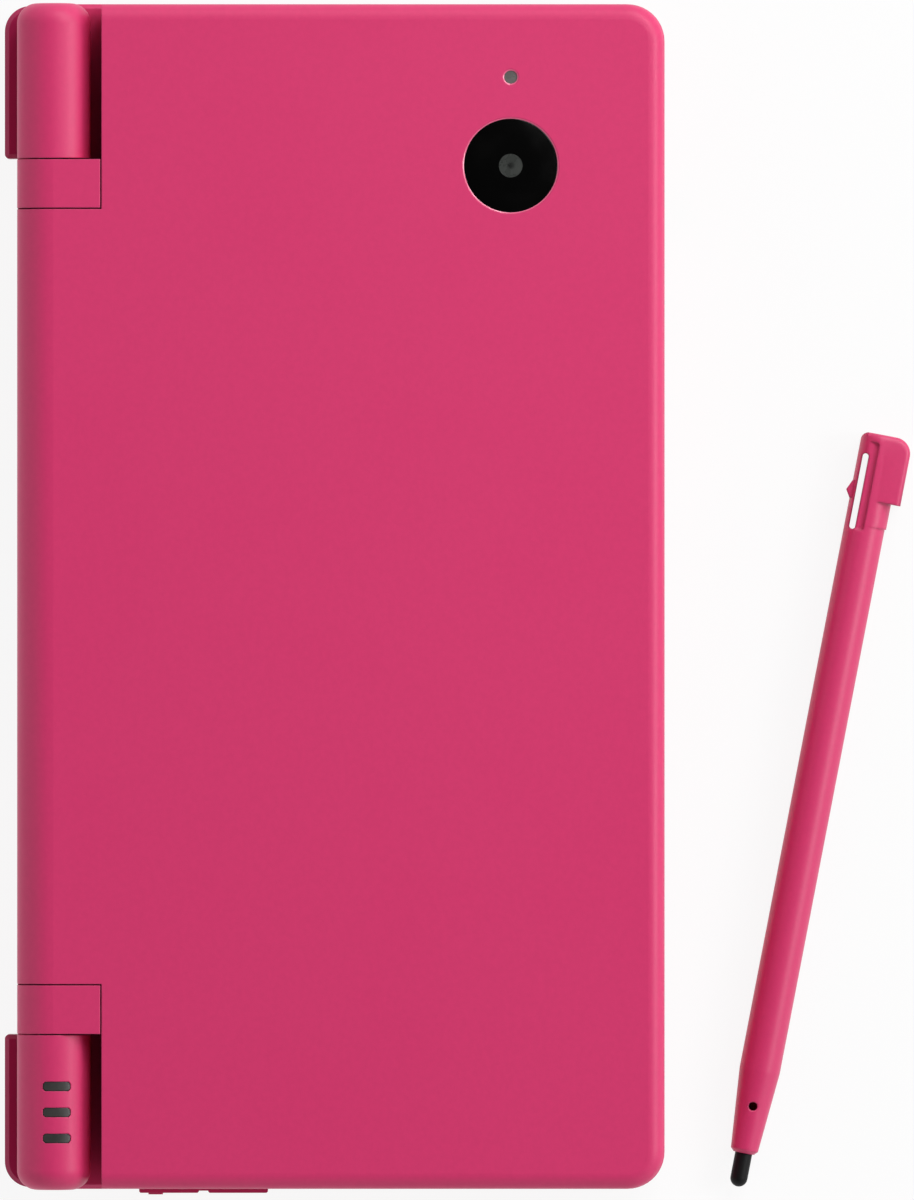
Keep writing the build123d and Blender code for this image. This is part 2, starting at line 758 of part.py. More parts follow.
with BuildPart() as sd_card_slot:
    with BuildSketch(Plane.YZ.offset(sd_slot_x)):
        with Locations((sd_y, sd_z)):
            Rectangle(sd_width + 2 * sd_wall, sd_height + 2 * sd_wall)
    extrude(amount=-(sd_reach + sd_wall))
    with BuildSketch(Plane.YZ.offset(sd_slot_x)):
        with Locations((sd_y, sd_z)):
            Rectangle(sd_width, sd_height)
    extrude(amount=-sd_reach, mode=Mode.SUBTRACT)
pieces["sd_card_slot"] = sd_card_slot.part

with BuildPart() as stylus_sleeve:
    with BuildSketch(Plane.YZ.offset(half_width - mouth_depth)):
        with Locations((stylus_y, stylus_z)):
            RectangleRounded(sleeve_width, sleeve_height, stylus_bore / 2)
    extrude(amount=sleeve_end_x - half_width + mouth_depth)
    with BuildSketch(Plane.YZ.offset(half_width - mouth_depth)):
        with Locations((stylus_y, stylus_z)):
            Rectangle(mouth_width, mouth_height)
    extrude(amount=mouth_depth)
    with BuildSketch(Plane.YZ.offset(half_width - mouth_depth + mouth_wall)):
        with Locations((stylus_y, stylus_z)):
            Rectangle(mouth_width - 2 * mouth_wall, mouth_height - 2 * mouth_wall)
    extrude(amount=mouth_depth, mode=Mode.SUBTRACT)
    with BuildSketch(Plane.YZ.offset(mouth_floor_x)):
        with Locations((stylus_y, stylus_z)):
            Circle(stylus_bore)
    extrude(amount=-sleeve_reach, mode=Mode.SUBTRACT)
pieces["stylus_sleeve"] = stylus_sleeve.part

with BuildPart() as headphone_jack:
    with BuildSketch(Plane.XZ.offset(-(front_y + base_wall + layer_gap))):
        with Locations((jack_x, jack_z)):
            Rectangle(jack_width, jack_height)
    extrude(amount=-jack_length)
    with BuildSketch(Plane.XZ.offset(-front_y)):
        with Locations((jack_x, jack_z)):
            Circle(jack_nose)
    extrude(amount=-2 * base_wall)
    with BuildSketch(Plane.XZ.offset(-front_y)):
        with Locations((jack_x, jack_z)):
            Circle(jack_bore)
    extrude(amount=-jack_length, mode=Mode.SUBTRACT)
pieces["headphone_jack"] = headphone_jack.part

with BuildPart() as charge_connector:
    with BuildSketch(Plane.XZ.offset(-(rear_y - layer_gap))):
        with Locations((charge_x, charge_z)):
            Rectangle(charge_body_width, charge_body_height)
    extrude(amount=charge_body_length)
    with BuildSketch(Plane.XZ.offset(-rear_y)):
        with Locations((charge_x, charge_z)):
            Rectangle(charge_width, charge_height)
            Rectangle(charge_tongue_width, charge_tongue_height, mode=Mode.SUBTRACT)
    extrude(amount=charge_depth, mode=Mode.SUBTRACT)
pieces["charge_connector"] = charge_connector.part

with BuildPart() as lower_screen:
    with BuildSketch(Plane.XY.offset(lcd_z)):
        with Locations((0, screen_y)):
            Rectangle(lcd_width, lcd_depth)
    extrude(amount=lower_lcd_thickness)
pieces["lower_screen"] = lower_screen.part

with BuildPart() as touch_panel:
    with BuildSketch(Plane.XY.offset(panel_z)):
        with Locations((0, screen_y)):
            RectangleRounded(view_width - 2 * seam, view_depth - 2 * seam, view_corner - seam)
    extrude(amount=panel_thickness)
pieces["touch_panel"] = touch_panel.part


# ---- Buttons on the face -----------------------------------------------------------
def round_button(place, radius):
    """A round cap, held under the case's face by a bar across its foot."""
    with BuildPart() as button:
        with BuildSketch(Plane.XY.offset(flange_bottom)):
            with Locations(place):
                Circle(radius)
                Rectangle(2 * (radius + flange_width), radius)
        extrude(amount=flange_thickness)
        with BuildSketch(Plane.XY.offset(flange_top)):
            with Locations(place):
                Circle(radius)
        extrude(amount=cap_top - flange_top)
        chamfer(faces().sort_by(Axis.Z)[-1].edges(), crown)
    return button.part


def rubber_mat(places, radius, margin):
    """A rubber sheet on the board with a dome under each button."""
    x_from = min(x for x, y in places) - radius - margin
    x_to = max(x for x, y in places) + radius + margin
    y_from = min(y for x, y in places) - radius - margin
    y_to = max(y for x, y in places) + radius + margin
    with BuildPart() as mat:
        with BuildSketch(Plane.XY.offset(board_top)):
            plate(x_from, x_to, y_from, y_to)
            chamfer(vertices(), margin)
        extrude(amount=mat_thickness)
        with BuildSketch(Plane.XY.offset(board_top + mat_thickness)):
            with Locations(*places):
                Circle(radius)
        extrude(amount=dome_top - board_top - mat_thickness, taper=dome_taper)
    return mat.part


for letter, place in action_places.items():
    pieces[f"button_{letter}"] = round_button(place, action_radius)
pieces["start_button"] = round_button((menu_x, menu_y[0]), menu_radius)
pieces["select_button"] = round_button((menu_x, menu_y[1]), menu_radius)
pieces["power_button"] = round_button((power_x, power_y), power_radius)
pieces["action_button_rubber"] = rubber_mat(
    list(action_places.values()), action_radius - crown, mat_margin
)
pieces["menu_button_rubber"] = rubber_mat(
    [(menu_x, y) for y in menu_y], menu_radius - crown, mat_margin
)
pieces["power_switch"] = rubber_mat([(power_x, power_y)], power_radius - crown, mat_margin)

# ---- D-pad: a cross that rocks on a post, over a rubber ring -----------------------
ring_bottom = board_top + mat_thickness
ring_top = ring_bottom + mat_thickness
cross_flange_bottom = ring_top + mat_thickness
with BuildPart() as dpad:
    with BuildSketch(Plane.XY.offset(cross_flange_bottom)):
        with Locations((-pad_x, pad_y)):
            Circle(cross_flange_radius)
    extrude(amount=cross_flange_thickness)
    with BuildSketch(Plane.XY.offset(cross_flange_bottom)):
        with Locations((-pad_x, pad_y)):
            Rectangle(cross_span, cross_arm)
            Rectangle(cross_arm, cross_span)
        fillet(vertices(), cross_corner)
    extrude(amount=cap_top - cross_flange_bottom)
    chamfer(faces().sort_by(Axis.Z)[-1].edges(), crown)
    with Locations((-pad_x, pad_y, cap_top + cross_dish_radius - cross_dish_depth)):
        Sphere(cross_dish_radius, mode=Mode.SUBTRACT)
    with BuildSketch(Plane.XY.offset(board_top + layer_gap)):
        with Locations((-pad_x, pad_y)):
            Circle(rock_post_radius)
    extrude(amount=cross_flange_bottom - board_top)
pieces["dpad"] = dpad.part

with BuildPart() as dpad_rubber:
    with BuildSketch(Plane.XY.offset(ring_bottom)):
        with Locations((-pad_x, pad_y)):
            Circle(cross_flange_radius / 2)
            Circle(rock_post_radius + fit, mode=Mode.SUBTRACT)
    extrude(amount=mat_thickness)
pieces["dpad_rubber"] = dpad_rubber.part


# ---- Shoulder buttons: hollow corner caps on upright pins --------------------------
def shoulder_button(side):
    """The right one is on +X; the left one is its mirror image."""
    inner = pocket_start + shoulder_room
    outer = half_width - fit
    rear = rear_y + shoulder_proud
    bottom = shoulder_floor + shoulder_room
    height = shoulder_ceiling - shoulder_floor - 2 * shoulder_room
    pivot_x = pocket_start + shoulder_pivot_inset
    with BuildPart() as button:
        with BuildSketch(Plane.XY.offset(bottom)):
            plate(inner, outer, rear_y - shoulder_depth, rear)
            fillet(vertices().group_by(Axis.Y)[-1].sort_by(Axis.X)[-1], shoulder_corner)
            fillet(vertices().group_by(Axis.Y)[-1].sort_by(Axis.X)[0], shoulder_inner_corner)
        extrude(amount=height)
        chamfer(faces().sort_by(Axis.Y)[-1].edges().filter_by(Axis.X), shoulder_inner_corner)
        with BuildSketch(Plane.XY.offset(bottom + shoulder_wall)):
            plate(
                inner + shoulder_wall, outer - shoulder_wall,
                rear_y - shoulder_depth - seam, rear - shoulder_wall,
            )
            fillet(
                vertices().group_by(Axis.Y)[-1].sort_by(Axis.X)[-1], shoulder_corner - shoulder_wall
            )
        extrude(amount=height - 2 * shoulder_wall, mode=Mode.SUBTRACT)
        with BuildSketch(Plane.XY.offset(bottom)):
            with Locations((pivot_x, shoulder_pivot_y)):
                Circle(shoulder_boss_radius)
        extrude(amount=height)
        with BuildSketch(Plane.XY.offset(bottom)):
            with Locations((pivot_x, shoulder_pivot_y)):
                Circle(shoulder_pin_radius + pin_fit)
        extrude(amount=height, mode=Mode.SUBTRACT)
        if side < 0:
            mirror(about=Plane.YZ, mode=Mode.REPLACE)
    return button.part


pieces["shoulder_button_left"] = shoulder_button(-1)
pieces["shoulder_button_right"] = shoulder_button(1)

with BuildPart() as shoulder_pins:
    with BuildSketch(Plane.XY.offset(shoulder_floor)):
        for side in (-1, 1):
            with Locations((side * (pocket_start + shoulder_pivot_inset), shoulder_pivot_y)):
                Circle(shoulder_pin_radius)
    extrude(amount=shoulder_ceiling - shoulder_floor)
pieces["shoulder_pins"] = shoulder_pins.part

with BuildPart() as shoulder_switches:
    switch_z = (shoulder_floor + shoulder_ceiling) / 2
    with BuildSketch(Plane.XZ.offset(-pocket_front)):
        for side in (-1, 1):
            with Locations((side * (half_width - shoulder_switch_side), switch_z)):
                Rectangle(shoulder_switch_width, shoulder_switch_height)
    extrude(amount=-shoulder_switch_depth)
    with BuildSketch(Plane.XZ.offset(-pocket_front - shoulder_switch_depth)):
        for side in (-1, 1):
            with Locations((side * (half_width - shoulder_switch_side), switch_z)):
                Circle(tact_radius)
    extrude(amount=-shoulder_plunger)
pieces["shoulder_switches"] = shoulder_switches.part

# ---- Volume rocker -----------------------------------------------------------------
with BuildPart() as volume_rocker:
    with BuildSketch(Plane.XY.offset(rocker_bottom)):
        plate(
            -half_width - rocker_valley_proud, -half_width + rocker_inside,
            rocker_front, rocker_rear,
        )
        plate(
            -half_width - rocker_proud, -half_width + rocker_inside,
            rocker_front, rocker_y - rocker_valley,
        )
        plate(
            -half_width - rocker_proud, -half_width + rocker_inside,
            rocker_y + rocker_valley, rocker_rear,
        )
        chamfer(vertices().group_by(Axis.X)[0], rocker_valley_proud / 2)
        with Locations((rocker_pin_x, rocker_y)):
            Circle(rocker_boss_radius)
        plate(
            -half_width + rocker_inside - seam, rocker_pin_x,
            rocker_y - rocker_boss_radius, rocker_y + rocker_boss_radius,
        )
        with Locations((rocker_pin_x, rocker_y)):
            Circle(rocker_pin_radius + pin_fit, mode=Mode.SUBTRACT)
    extrude(amount=rocker_top - rocker_bottom)
    with BuildSketch(Plane.YZ.offset(-half_width)):
        with Locations((rocker_rear - rocker_nub_inset, (rocker_bottom + rocker_top) / 2)):
            SlotOverall(rocker_nub_length, rocker_nub_length / 2)
    extrude(amount=-(rocker_proud + rocker_nub))
pieces["volume_rocker"] = volume_rocker.part

with BuildPart() as volume_pin:
    with BuildSketch(Plane.XY.offset(base_wall)):
        with Locations((rocker_pin_x, rocker_y)):
            Circle(rocker_pin_radius)
    extrude(amount=split_height - base_wall - layer_gap)
pieces["volume_pin"] = volume_pin.part

with BuildPart() as volume_switch:
    plunger_x = -half_width + rocker_inside + tact_gap
    tact_z = (rocker_bottom + rocker_top) / 2
    with BuildSketch(Plane.YZ.offset(plunger_x)):
        for side in (-1, 1):
            with Locations((rocker_y + side * tact_spacing / 2, tact_z)):
                Circle(tact_radius)
    extrude(amount=tact_plunger)
    with BuildSketch(Plane.YZ.offset(plunger_x + tact_plunger)):
        for side in (-1, 1):
            with Locations((rocker_y + side * tact_spacing / 2, tact_z)):
                Rectangle(tact_body, tact_body)
    extrude(amount=tact_body / 2)
    with BuildSketch(Plane.YZ.offset(plunger_x + tact_plunger + tact_body / 2)):
        plate(
            rocker_y - volume_board_width / 2, rocker_y + volume_board_width / 2,
            base_wall, split_height - layer_gap,
        )
    extrude(amount=volume_board_thickness)
pieces["volume_switch"] = volume_switch.part

# ---- Door of the SD card slot ------------------------------------------------------
with BuildPart() as sd_slot_cover:
    with BuildSketch(Plane.XY.offset(sd_cover_bottom)):
        plate(
            half_width - sd_cover_thickness, half_width, sd_y - sd_cover_length / 2, door_pin_y,
        )
        with Locations((door_pin_x, door_pin_y)):
            Circle(sd_cover_thickness / 2)
    extrude(amount=sd_cover_height)
    with Locations((door_pin_x, door_pin_y, sd_cover_bottom)):
        Cylinder(sd_pin_radius, 2 * sd_pin_length - 2 * fit)
pieces["sd_slot_cover"] = sd_slot_cover.part

# ---- Lid: outer cover, rolled down over the hinge at the rear ----------------------
with BuildPart() as lid_outer_cover:
    with BuildSketch(Plane.XY.offset(lid_split_z)):
        lid_outline(0, lid_end_y)
    extrude(amount=top_z - lid_split_z)
    top_edges = faces().sort_by(Axis.Z)[-1].edges()
    fillet(top_edges - top_edges.filter_by(Axis.X).sort_by(Axis.Y)[-1:], lid_top_radius)
    with BuildSketch(Plane.YZ.offset(-roll_half)):
        with Locations((hinge_y, hinge_z)):
            Circle(barrel_radius)
        plate(lid_end_y - lid_top_radius, hinge_y, lid_split_z, top_z)
    extrude(amount=2 * roll_half)
    split(bisect_by=Plane.XY.offset(lid_split_z), keep=Keep.TOP)
    with BuildSketch(Plane.XY.offset(lid_split_z)):
        lid_outline(lid_wall, lid_end_y - lid_wall)
    extrude(amount=top_z - lid_roof - lid_split_z, mode=Mode.SUBTRACT)
    with BuildSketch(Plane.YZ.offset(-roll_half)):
        with Locations((hinge_y, hinge_z)):
            Circle(hinge_bore)
    extrude(amount=2 * roll_half, mode=Mode.SUBTRACT)
    with BuildSketch(Plane.XY.offset(lid_split_z)):
        with Locations((camera_x, camera_y)):
            Circle(camera_window_radius + seam / 2)
        with Locations((light_x, camera_y)):
            Circle(light_radius + seam / 2)
    extrude(amount=lid_height, mode=Mode.SUBTRACT)
    with BuildSketch(Plane.XY.offset(lid_split_z)):
        with Locations(*lid_screw_places):
            Rectangle(boss_size, boss_size)
            Circle(screw_radius + screw_hole, mode=Mode.SUBTRACT)
    extrude(amount=top_z - lid_roof - lid_split_z)
pieces["lid_outer_cover"] = lid_outer_cover.part

# ---- Lid: inner frame with the two hinge knuckles ----------------------------------
with BuildPart() as lid_inner_frame:
    with BuildSketch(Plane.XY.offset(lid_z)):
        lid_outline(0, lid_end_y)
    extrude(amount=lid_frame_height)
    chamfer(faces().sort_by(Axis.Z)[0].edges().sort_by(Axis.Y)[:-1], lid_inner_bevel)
    with BuildSketch(Plane.YZ.offset(-roll_half)):
        with Locations((hinge_y, hinge_z)):
            Circle(barrel_radius)
        plate(lid_end_y - lid_wall, hinge_y, lid_z, lid_split_z)
    extrude(amount=2 * roll_half)
    split(bisect_by=Plane.XY.offset(lid_split_z), keep=Keep.BOTTOM)
    for side in (-1, 1):
        with BuildSketch(Plane.YZ.offset(side * roll_half)):
            with Locations((hinge_y, hinge_z)):
                Circle(barrel_radius)
            plate(lid_end_y + hinge_seam, hinge_y, lid_z, top_z)
        extrude(amount=side * (knuckle_length + hinge_seam))
        with BuildSketch(Plane.YZ.offset(side * roll_half)):
            plate(lid_end_y - lid_wall, hinge_y, lid_z, lid_split_z)
        extrude(amount=side * (knuckle_length + hinge_seam))
        with BuildSketch(Plane.YZ.offset(side * knuckle_start)):
            plate(lid_end_y, rear_y, lid_split_z, top_z)
        extrude(amount=-side * hinge_seam, mode=Mode.SUBTRACT)
    with BuildSketch(Plane.YZ.offset(-knuckle_end)):
        with Locations((hinge_y, hinge_z)):
            Circle(hinge_bore)
    extrude(amount=2 * knuckle_end, mode=Mode.SUBTRACT)
    with BuildSketch(Plane.XY.offset(lid_z + lid_floor)):
        lid_outline(lid_wall, lid_end_y - lid_wall)
    extrude(amount=lid_frame_height, mode=Mode.SUBTRACT)
    # screw posts, the window, the speaker slots, and the eye and microphone in the barrel
    with BuildSketch(Plane.XY.offset(lid_z)):
        with Locations(*lid_screw_places):
            Rectangle(boss_size, boss_size)
    extrude(amount=lid_frame_height - layer_gap)
    with BuildSketch(Plane.XY.offset(lid_z)):
        with Locations(*lid_screw_places):
            Circle(bumper_radius + screw_hole)
    extrude(amount=bumper_sink + layer_gap, mode=Mode.SUBTRACT)
    screw_holes(lid_screw_places, bumper_top + layer_gap, lid_frame_height)
    with BuildSketch(Plane.XY.offset(lid_z)):
        with Locations((0, screen_y)):
            RectangleRounded(view_width, view_depth, view_corner)
        for side in (-1, 1):
            with Locations((side * speaker_x, speaker_y)):
                with GridLocations(grille_spacing, grille_spacing, grille_slots, 1):
                    Rectangle(grille_slot_width, grille_slot_length)
    extrude(amount=lid_floor, mode=Mode.SUBTRACT)
    with BuildSketch(Plane.XY.offset(hinge_z - barrel_radius)):
        with Locations((0, hinge_y)):
            Circle(eye_radius + seam / 2)
        with Locations((mic_x, hinge_y)):
            Circle(mic_hole)
    extrude(amount=barrel_radius, mode=Mode.SUBTRACT)
pieces["lid_inner_frame"] = lid_inner_frame.part

# ---- Parts in the lid --------------------------------------------------------------
window_z = lid_z + layer_gap
lid_floor_z = lid_z + lid_floor
with BuildPart() as upper_screen_window:
    with BuildSketch(Plane.XY.offset(window_z)):
        with Locations((0, screen_y)):
            RectangleRounded(view_width - 2 * seam, view_depth - 2 * seam, view_corner - seam)
    extrude(amount=window_thickness)
pieces["upper_screen_window"] = upper_screen_window.part

with BuildPart() as upper_screen:
    with BuildSketch(Plane.XY.offset(lid_floor_z)):
        with Locations((0, screen_y)):
            Rectangle(lcd_width, lcd_depth)
    extrude(amount=upper_lcd_thickness)
pieces["upper_screen"] = upper_screen.part

for name, side in (("speaker_left", -1), ("speaker_right", 1)):
    with BuildPart() as speaker:
        with BuildSketch(Plane.XY.offset(lid_floor_z)):
            with Locations((side * speaker_x, speaker_y)):
                Circle(speaker_radius)
        extrude(amount=speaker_rim_height)
        with BuildSketch(Plane.XY.offset(lid_floor_z)):
            with Locations((side * speaker_x, speaker_y)):
                Circle(speaker_magnet_radius)
        extrude(amount=speaker_height)
    pieces[name] = speaker.part

window_seat_z = top_z - camera_window_thickness
with BuildPart() as outer_camera_window:
    with BuildSketch(Plane.XY.offset(window_seat_z)):
        with Locations((camera_x, camera_y)):
            Circle(camera_window_radius)
    extrude(amount=camera_window_thickness)
    chamfer(faces().sort_by(Axis.Z)[-1].edges(), camera_window_bevel)
pieces["outer_camera_window"] = outer_camera_window.part

with BuildPart() as outer_camera_module:
    lens_top = window_seat_z - layer_gap
    with BuildSketch(Plane.XY.offset(lens_top - camera_lens_height)):
        with Locations((camera_x, camera_y)):
            Rectangle(camera_module_size, camera_module_size)
    extrude(amount=-camera_module_height)
    with BuildSketch(Plane.XY.offset(lens_top - camera_lens_height)):
        with Locations((camera_x, camera_y)):
            Circle(camera_lens_radius)
    extrude(amount=camera_lens_height)
pieces["outer_camera_module"] = outer_camera_module.part

with BuildPart() as camera_light_lens:
    with BuildSketch(Plane.XY.offset(top_z - lid_roof)):
        with Locations((light_x, camera_y)):
            Circle(light_radius)
    extrude(amount=lid_roof - light_recess)
pieces["camera_light_lens"] = camera_light_lens.part

with BuildPart() as inner_camera_window:
    with BuildSketch(Plane.XY.offset(eye_z)):
        with Locations((0, hinge_y)):
            Circle(eye_radius)
    extrude(amount=eye_thickness)
pieces["inner_camera_window"] = inner_camera_window.part

with BuildPart() as inner_camera_module:
    with BuildSketch(Plane.XY.offset(hinge_z - eye_module_height / 2)):
        with Locations((0, hinge_y)):
            Rectangle(eye_module_size, eye_module_size)
    extrude(amount=eye_module_height)
    with BuildSketch(Plane.XY.offset(eye_z + eye_thickness + layer_gap)):
        with Locations((0, hinge_y)):
            Circle(eye_radius - fit)
    extrude(until=Until.NEXT)
pieces["inner_camera_module"] = inner_camera_module.part

with BuildPart() as microphone:
    with BuildSketch(Plane.XY.offset(hinge_z - hinge_bore + layer_gap)):
        with Locations((mic_x, hinge_y)):
            Circle(mic_hole)
    extrude(amount=mic_height)
    with BuildSketch(Plane.XY.offset(hinge_z - hinge_bore + mic_height)):
        with Locations((mic_x, hinge_y)):
            Circle(mic_radius)
    extrude(amount=mic_height)
pieces["microphone"] = microphone.part

with BuildPart() as lid_bumpers:
    with BuildSketch(Plane.XY.offset(lid_z - bumper_proud)):
        with Locations(*lid_screw_places):
            Circle(bumper_radius)
    extrude(amount=bumper_proud + bumper_sink)
pieces["lid_bumpers"] = lid_bumpers.part

# ---- Stylus: a tapered shaft with a hole, a flanged head and a sprung arm ----------
pen_plane = Plane(
    origin=(stylus_tip_x, stylus_tip_y, stylus_radius),
    x_dir=Vector(1, 0, 0).rotate(Axis.Z, stylus_lean),
    z_dir=(0, 0, 1),
)
pen_axis = Axis(pen_plane.origin, pen_plane.x_dir)
collar_plane = Plane(
    origin=pen_plane.from_local_coords((collar_start, 0)),
    x_dir=-pen_plane.y_dir, z_dir=pen_plane.x_dir,
)
with BuildPart() as stylus_body:
    with BuildSketch(pen_plane):
        with BuildLine():
            Polyline(
                (nose_start, tip_tang_radius + seam / 2), (nose_start, nose_radius - nose_bevel),
                (nose_start + nose_bevel, nose_radius), (shaft_start, stylus_radius),
                (stylus_length, stylus_radius), (stylus_length, 0), (nose_start + tip_tang, 0),
                (nose_start + tip_tang, tip_tang_radius + seam / 2),
                close=True,
            )
        make_face()
    revolve(axis=pen_axis)
    # collar, set over to the flange's side
    with BuildSketch(collar_plane):
        with Locations((collar_shift, 0)):
            Circle(stylus_radius)
    extrude(amount=flange_length)
    # flange, and the whole trimmed to rounded corners at its flat end
    with BuildSketch(pen_plane.offset(-head_half)):
        plate(flange_start, stylus_length, -flange_side, 0)
    extrude(amount=2 * head_half)
    with BuildSketch(pen_plane.offset(-stylus_radius)):
        plate(0, stylus_length, -flange_side, stylus_radius)
        fillet(vertices().group_by(Axis.X)[-1].sort_by(Axis.Y)[0], flange_corner)
        fillet(vertices().group_by(Axis.X)[-1].sort_by(Axis.Y)[-1], end_corner)
    extrude(amount=2 * stylus_radius, mode=Mode.INTERSECT)
    # bump that holds the stylus in its slot
    with BuildSketch(pen_plane.offset(-bump_half)):
        with BuildLine():
            Polyline(
                (bump_from, stylus_radius - bump_rise), (bump_from, stylus_radius),
                (bump_from + bump_apex, stylus_radius + bump_rise),
                (bump_from + bump_length, stylus_radius),
                (bump_from + bump_length, stylus_radius - bump_rise),
                close=True,
            )
        make_face()
    extrude(amount=2 * bump_half)
    # hole across the point, recess of the arm, and the slot beside it
    with BuildSketch(pen_plane.offset(-stylus_radius)):
        with Locations((pen_hole_at, 0)):
            Circle(pen_hole_radius)
        with Locations(((slot_start + slot_end) / 2, arm_side - arm_slot / 2)):
            SlotOverall(arm_slot_length, arm_slot)
    extrude(amount=2 * stylus_radius, mode=Mode.SUBTRACT)
    with BuildSketch(pen_plane.offset(head_half - arm_recess)):
        with Locations((slot_start + arm_recess_length / 2, arm_side - arm_width / 2)):
            RectangleRounded(arm_recess_length, arm_width, arm_slot / 2)
    extrude(amount=stylus_radius, mode=Mode.SUBTRACT)
pieces["stylus_body"] = stylus_body.part

with BuildPart() as stylus_tip:
    with BuildSketch(pen_plane):
        with BuildLine():
            tip_curve = RadiusArc((0, 0), (tip_radius, tip_radius), tip_radius)
            Polyline(
                tip_curve @ 1, (nose_start, tip_radius), (nose_start, tip_tang_radius),
                (nose_start + tip_tang, tip_tang_radius), (nose_start + tip_tang, 0), (0, 0),
            )
        make_face()
    revolve(axis=pen_axis)
pieces["stylus_tip"] = stylus_tip.part

# ---- Write one file for each piece -------------------------------------------------
os.makedirs("parts", exist_ok=True)
for name, piece in pieces.items():
    piece.label = name
    export_step(piece, f"parts/{name}.step")
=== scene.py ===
import json
import math

import bmesh
import bpy
from bpy.props import FloatProperty, FloatVectorProperty, PointerProperty
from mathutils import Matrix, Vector, kdtree


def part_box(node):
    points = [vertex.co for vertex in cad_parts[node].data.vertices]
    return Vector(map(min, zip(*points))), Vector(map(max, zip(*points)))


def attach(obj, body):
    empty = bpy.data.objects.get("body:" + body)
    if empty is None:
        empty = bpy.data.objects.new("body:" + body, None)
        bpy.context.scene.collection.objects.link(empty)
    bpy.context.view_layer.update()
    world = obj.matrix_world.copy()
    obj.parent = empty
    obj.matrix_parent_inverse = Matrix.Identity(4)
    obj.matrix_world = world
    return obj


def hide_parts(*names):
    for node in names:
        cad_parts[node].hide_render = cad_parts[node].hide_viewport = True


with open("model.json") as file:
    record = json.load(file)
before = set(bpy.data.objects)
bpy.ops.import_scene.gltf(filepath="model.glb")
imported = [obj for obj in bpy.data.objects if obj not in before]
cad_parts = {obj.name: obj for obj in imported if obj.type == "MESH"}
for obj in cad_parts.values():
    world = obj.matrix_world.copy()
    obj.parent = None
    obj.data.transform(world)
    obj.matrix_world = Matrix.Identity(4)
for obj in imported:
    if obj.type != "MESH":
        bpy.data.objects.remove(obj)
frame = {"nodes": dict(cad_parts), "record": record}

bl_info = {
    "name": "Clamshell console finish",
    "version": (1, 0, 0),
    "blender": (4, 5, 0),
    "location": "View3D > Sidebar > Console",
    "description": "Finished surfaces, small parts and a studio for a clamshell game console",
    "category": "Object",
}

MM = 0.001
MERGE = 0.001 * MM  # corners nearer than this are one
SAME_CORNER = 0.002 * MM  # a changed copy's corner is still the solid's own within this
SAME_FACE = 0.94  # least cosine between a face and the solid's normal that it may take over
TRUE_TO_AXIS = 0.999  # cosine past which a face lies square to the stylus
TURNED_CREASE = math.radians(50)  # sharper edges of a turned piece stay sharp
STYLUS_CREASE = math.radians(35)
RIM_CREASE = math.radians(40)
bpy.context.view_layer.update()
BODY_OF = {
    node: body
    for body, nodes in frame["record"]["behaviour"]["bodies"].items()
    for node in nodes
}
SLOT_OF = {part["node"]: part["material_slot"] for part in frame["record"]["subparts"]}


def middle(node):
    """The middle of a solid's box."""
    low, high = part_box(node)
    return (low + high) / 2


# ---- Sizes and colours that a user would change -----------------------------------
def colour(name, description, value):
    return FloatVectorProperty(
        name=name, description=description, subtype="COLOR", size=3, min=0, max=1, default=value
    )


def length(name, description, value):
    return FloatProperty(name=name, description=description, unit="LENGTH", default=value, min=0)


class ConsoleEdges(bpy.types.PropertyGroup):
    """How soft the moulded edges are."""

    shell: length("Shell edge", "Rounding of the case's sharp edges", 0.2 * MM)
    button: length("Button edge", "Rounding of the buttons' edges", 0.14 * MM)
    stylus: length("Stylus edge", "Rounding of the stylus's flat head", 0.4 * MM)


class ConsoleCamera(bpy.types.PropertyGroup):
    """Sizes of the outer camera's window and lens."""

    window_bevel: length("Window bevel", "Rounding of the window's rim", 0.08 * MM)
    window_sink: length("Window sink", "How far the window lies under the lid's face", 0.1 * MM)
    lens_radius: length("Lens radius", "The clear spot over the lens", 1.37 * MM)
    pupil_radius: length("Pupil radius", "The dark middle of the lens", 0.62 * MM)
    lens_sink: length("Lens sink", "How far the lens lies under the window's face", 0.04 * MM)
    seam: length("Seam", "Space round a piece that fills a hole in the lid", 0.1 * MM)
    gap: length("Gap", "Space between a lip and its neighbours", 0.004 * MM)
    lip_width: length("Lip width", "Sloped lip of a round hole, seen from above", 0.14 * MM)
    lip_depth: length("Lip depth", "Sloped lip of a round hole, seen from the side", 0.08 * MM)


class ConsoleStylus(bpy.types.PropertyGroup):
    """Where the stylus lies, and the shapes of its head and hole."""

    point: FloatVectorProperty(name="Point", description="Where its tip ends on the table",
                               unit="LENGTH", size=3, default=(-68.4 * MM, -45.9 * MM, 0))
    lean: FloatProperty(name="Lean", description="Turn from the console's long side",
                        subtype="ANGLE", default=math.radians(-10.92))
    overall: length("Length", "From the tip's end to the flat end", 88.75 * MM)
    head_start: length("Head start", "From the tip's end to where flat faces begin", 76 * MM)
    flange_start: length("Flange start", "From the tip's end to the flange", 81 * MM)
    flange_inside: length("Flange inside", "From the stylus's middle to the flange", 0.45 * MM)
    end_height: length("End height", "The flat end's rim is rounded over this height", 3.6 * MM)
    near: length("Near", "Play in finding the rim's corners", 0.01 * MM)
    face_height: length("Face height", "Height of the flange's flat face", 4.665 * MM)
    rim_bevel: length("Rim bevel", "Rounding of the flange's rim", 0.6 * MM)
    hole_at: length("Hole place", "From the tip's end to the hole's middle", 9.5 * MM)
    hole_radius: length("Hole radius", "Small hole across the point", 0.5 * MM)
    web_low: length("Web's underside", "Height at which the hole's lower half ends", 0.8 * MM)
    web_high: length("Web's top", "Height at which the hole's upper half ends", 1.3 * MM)


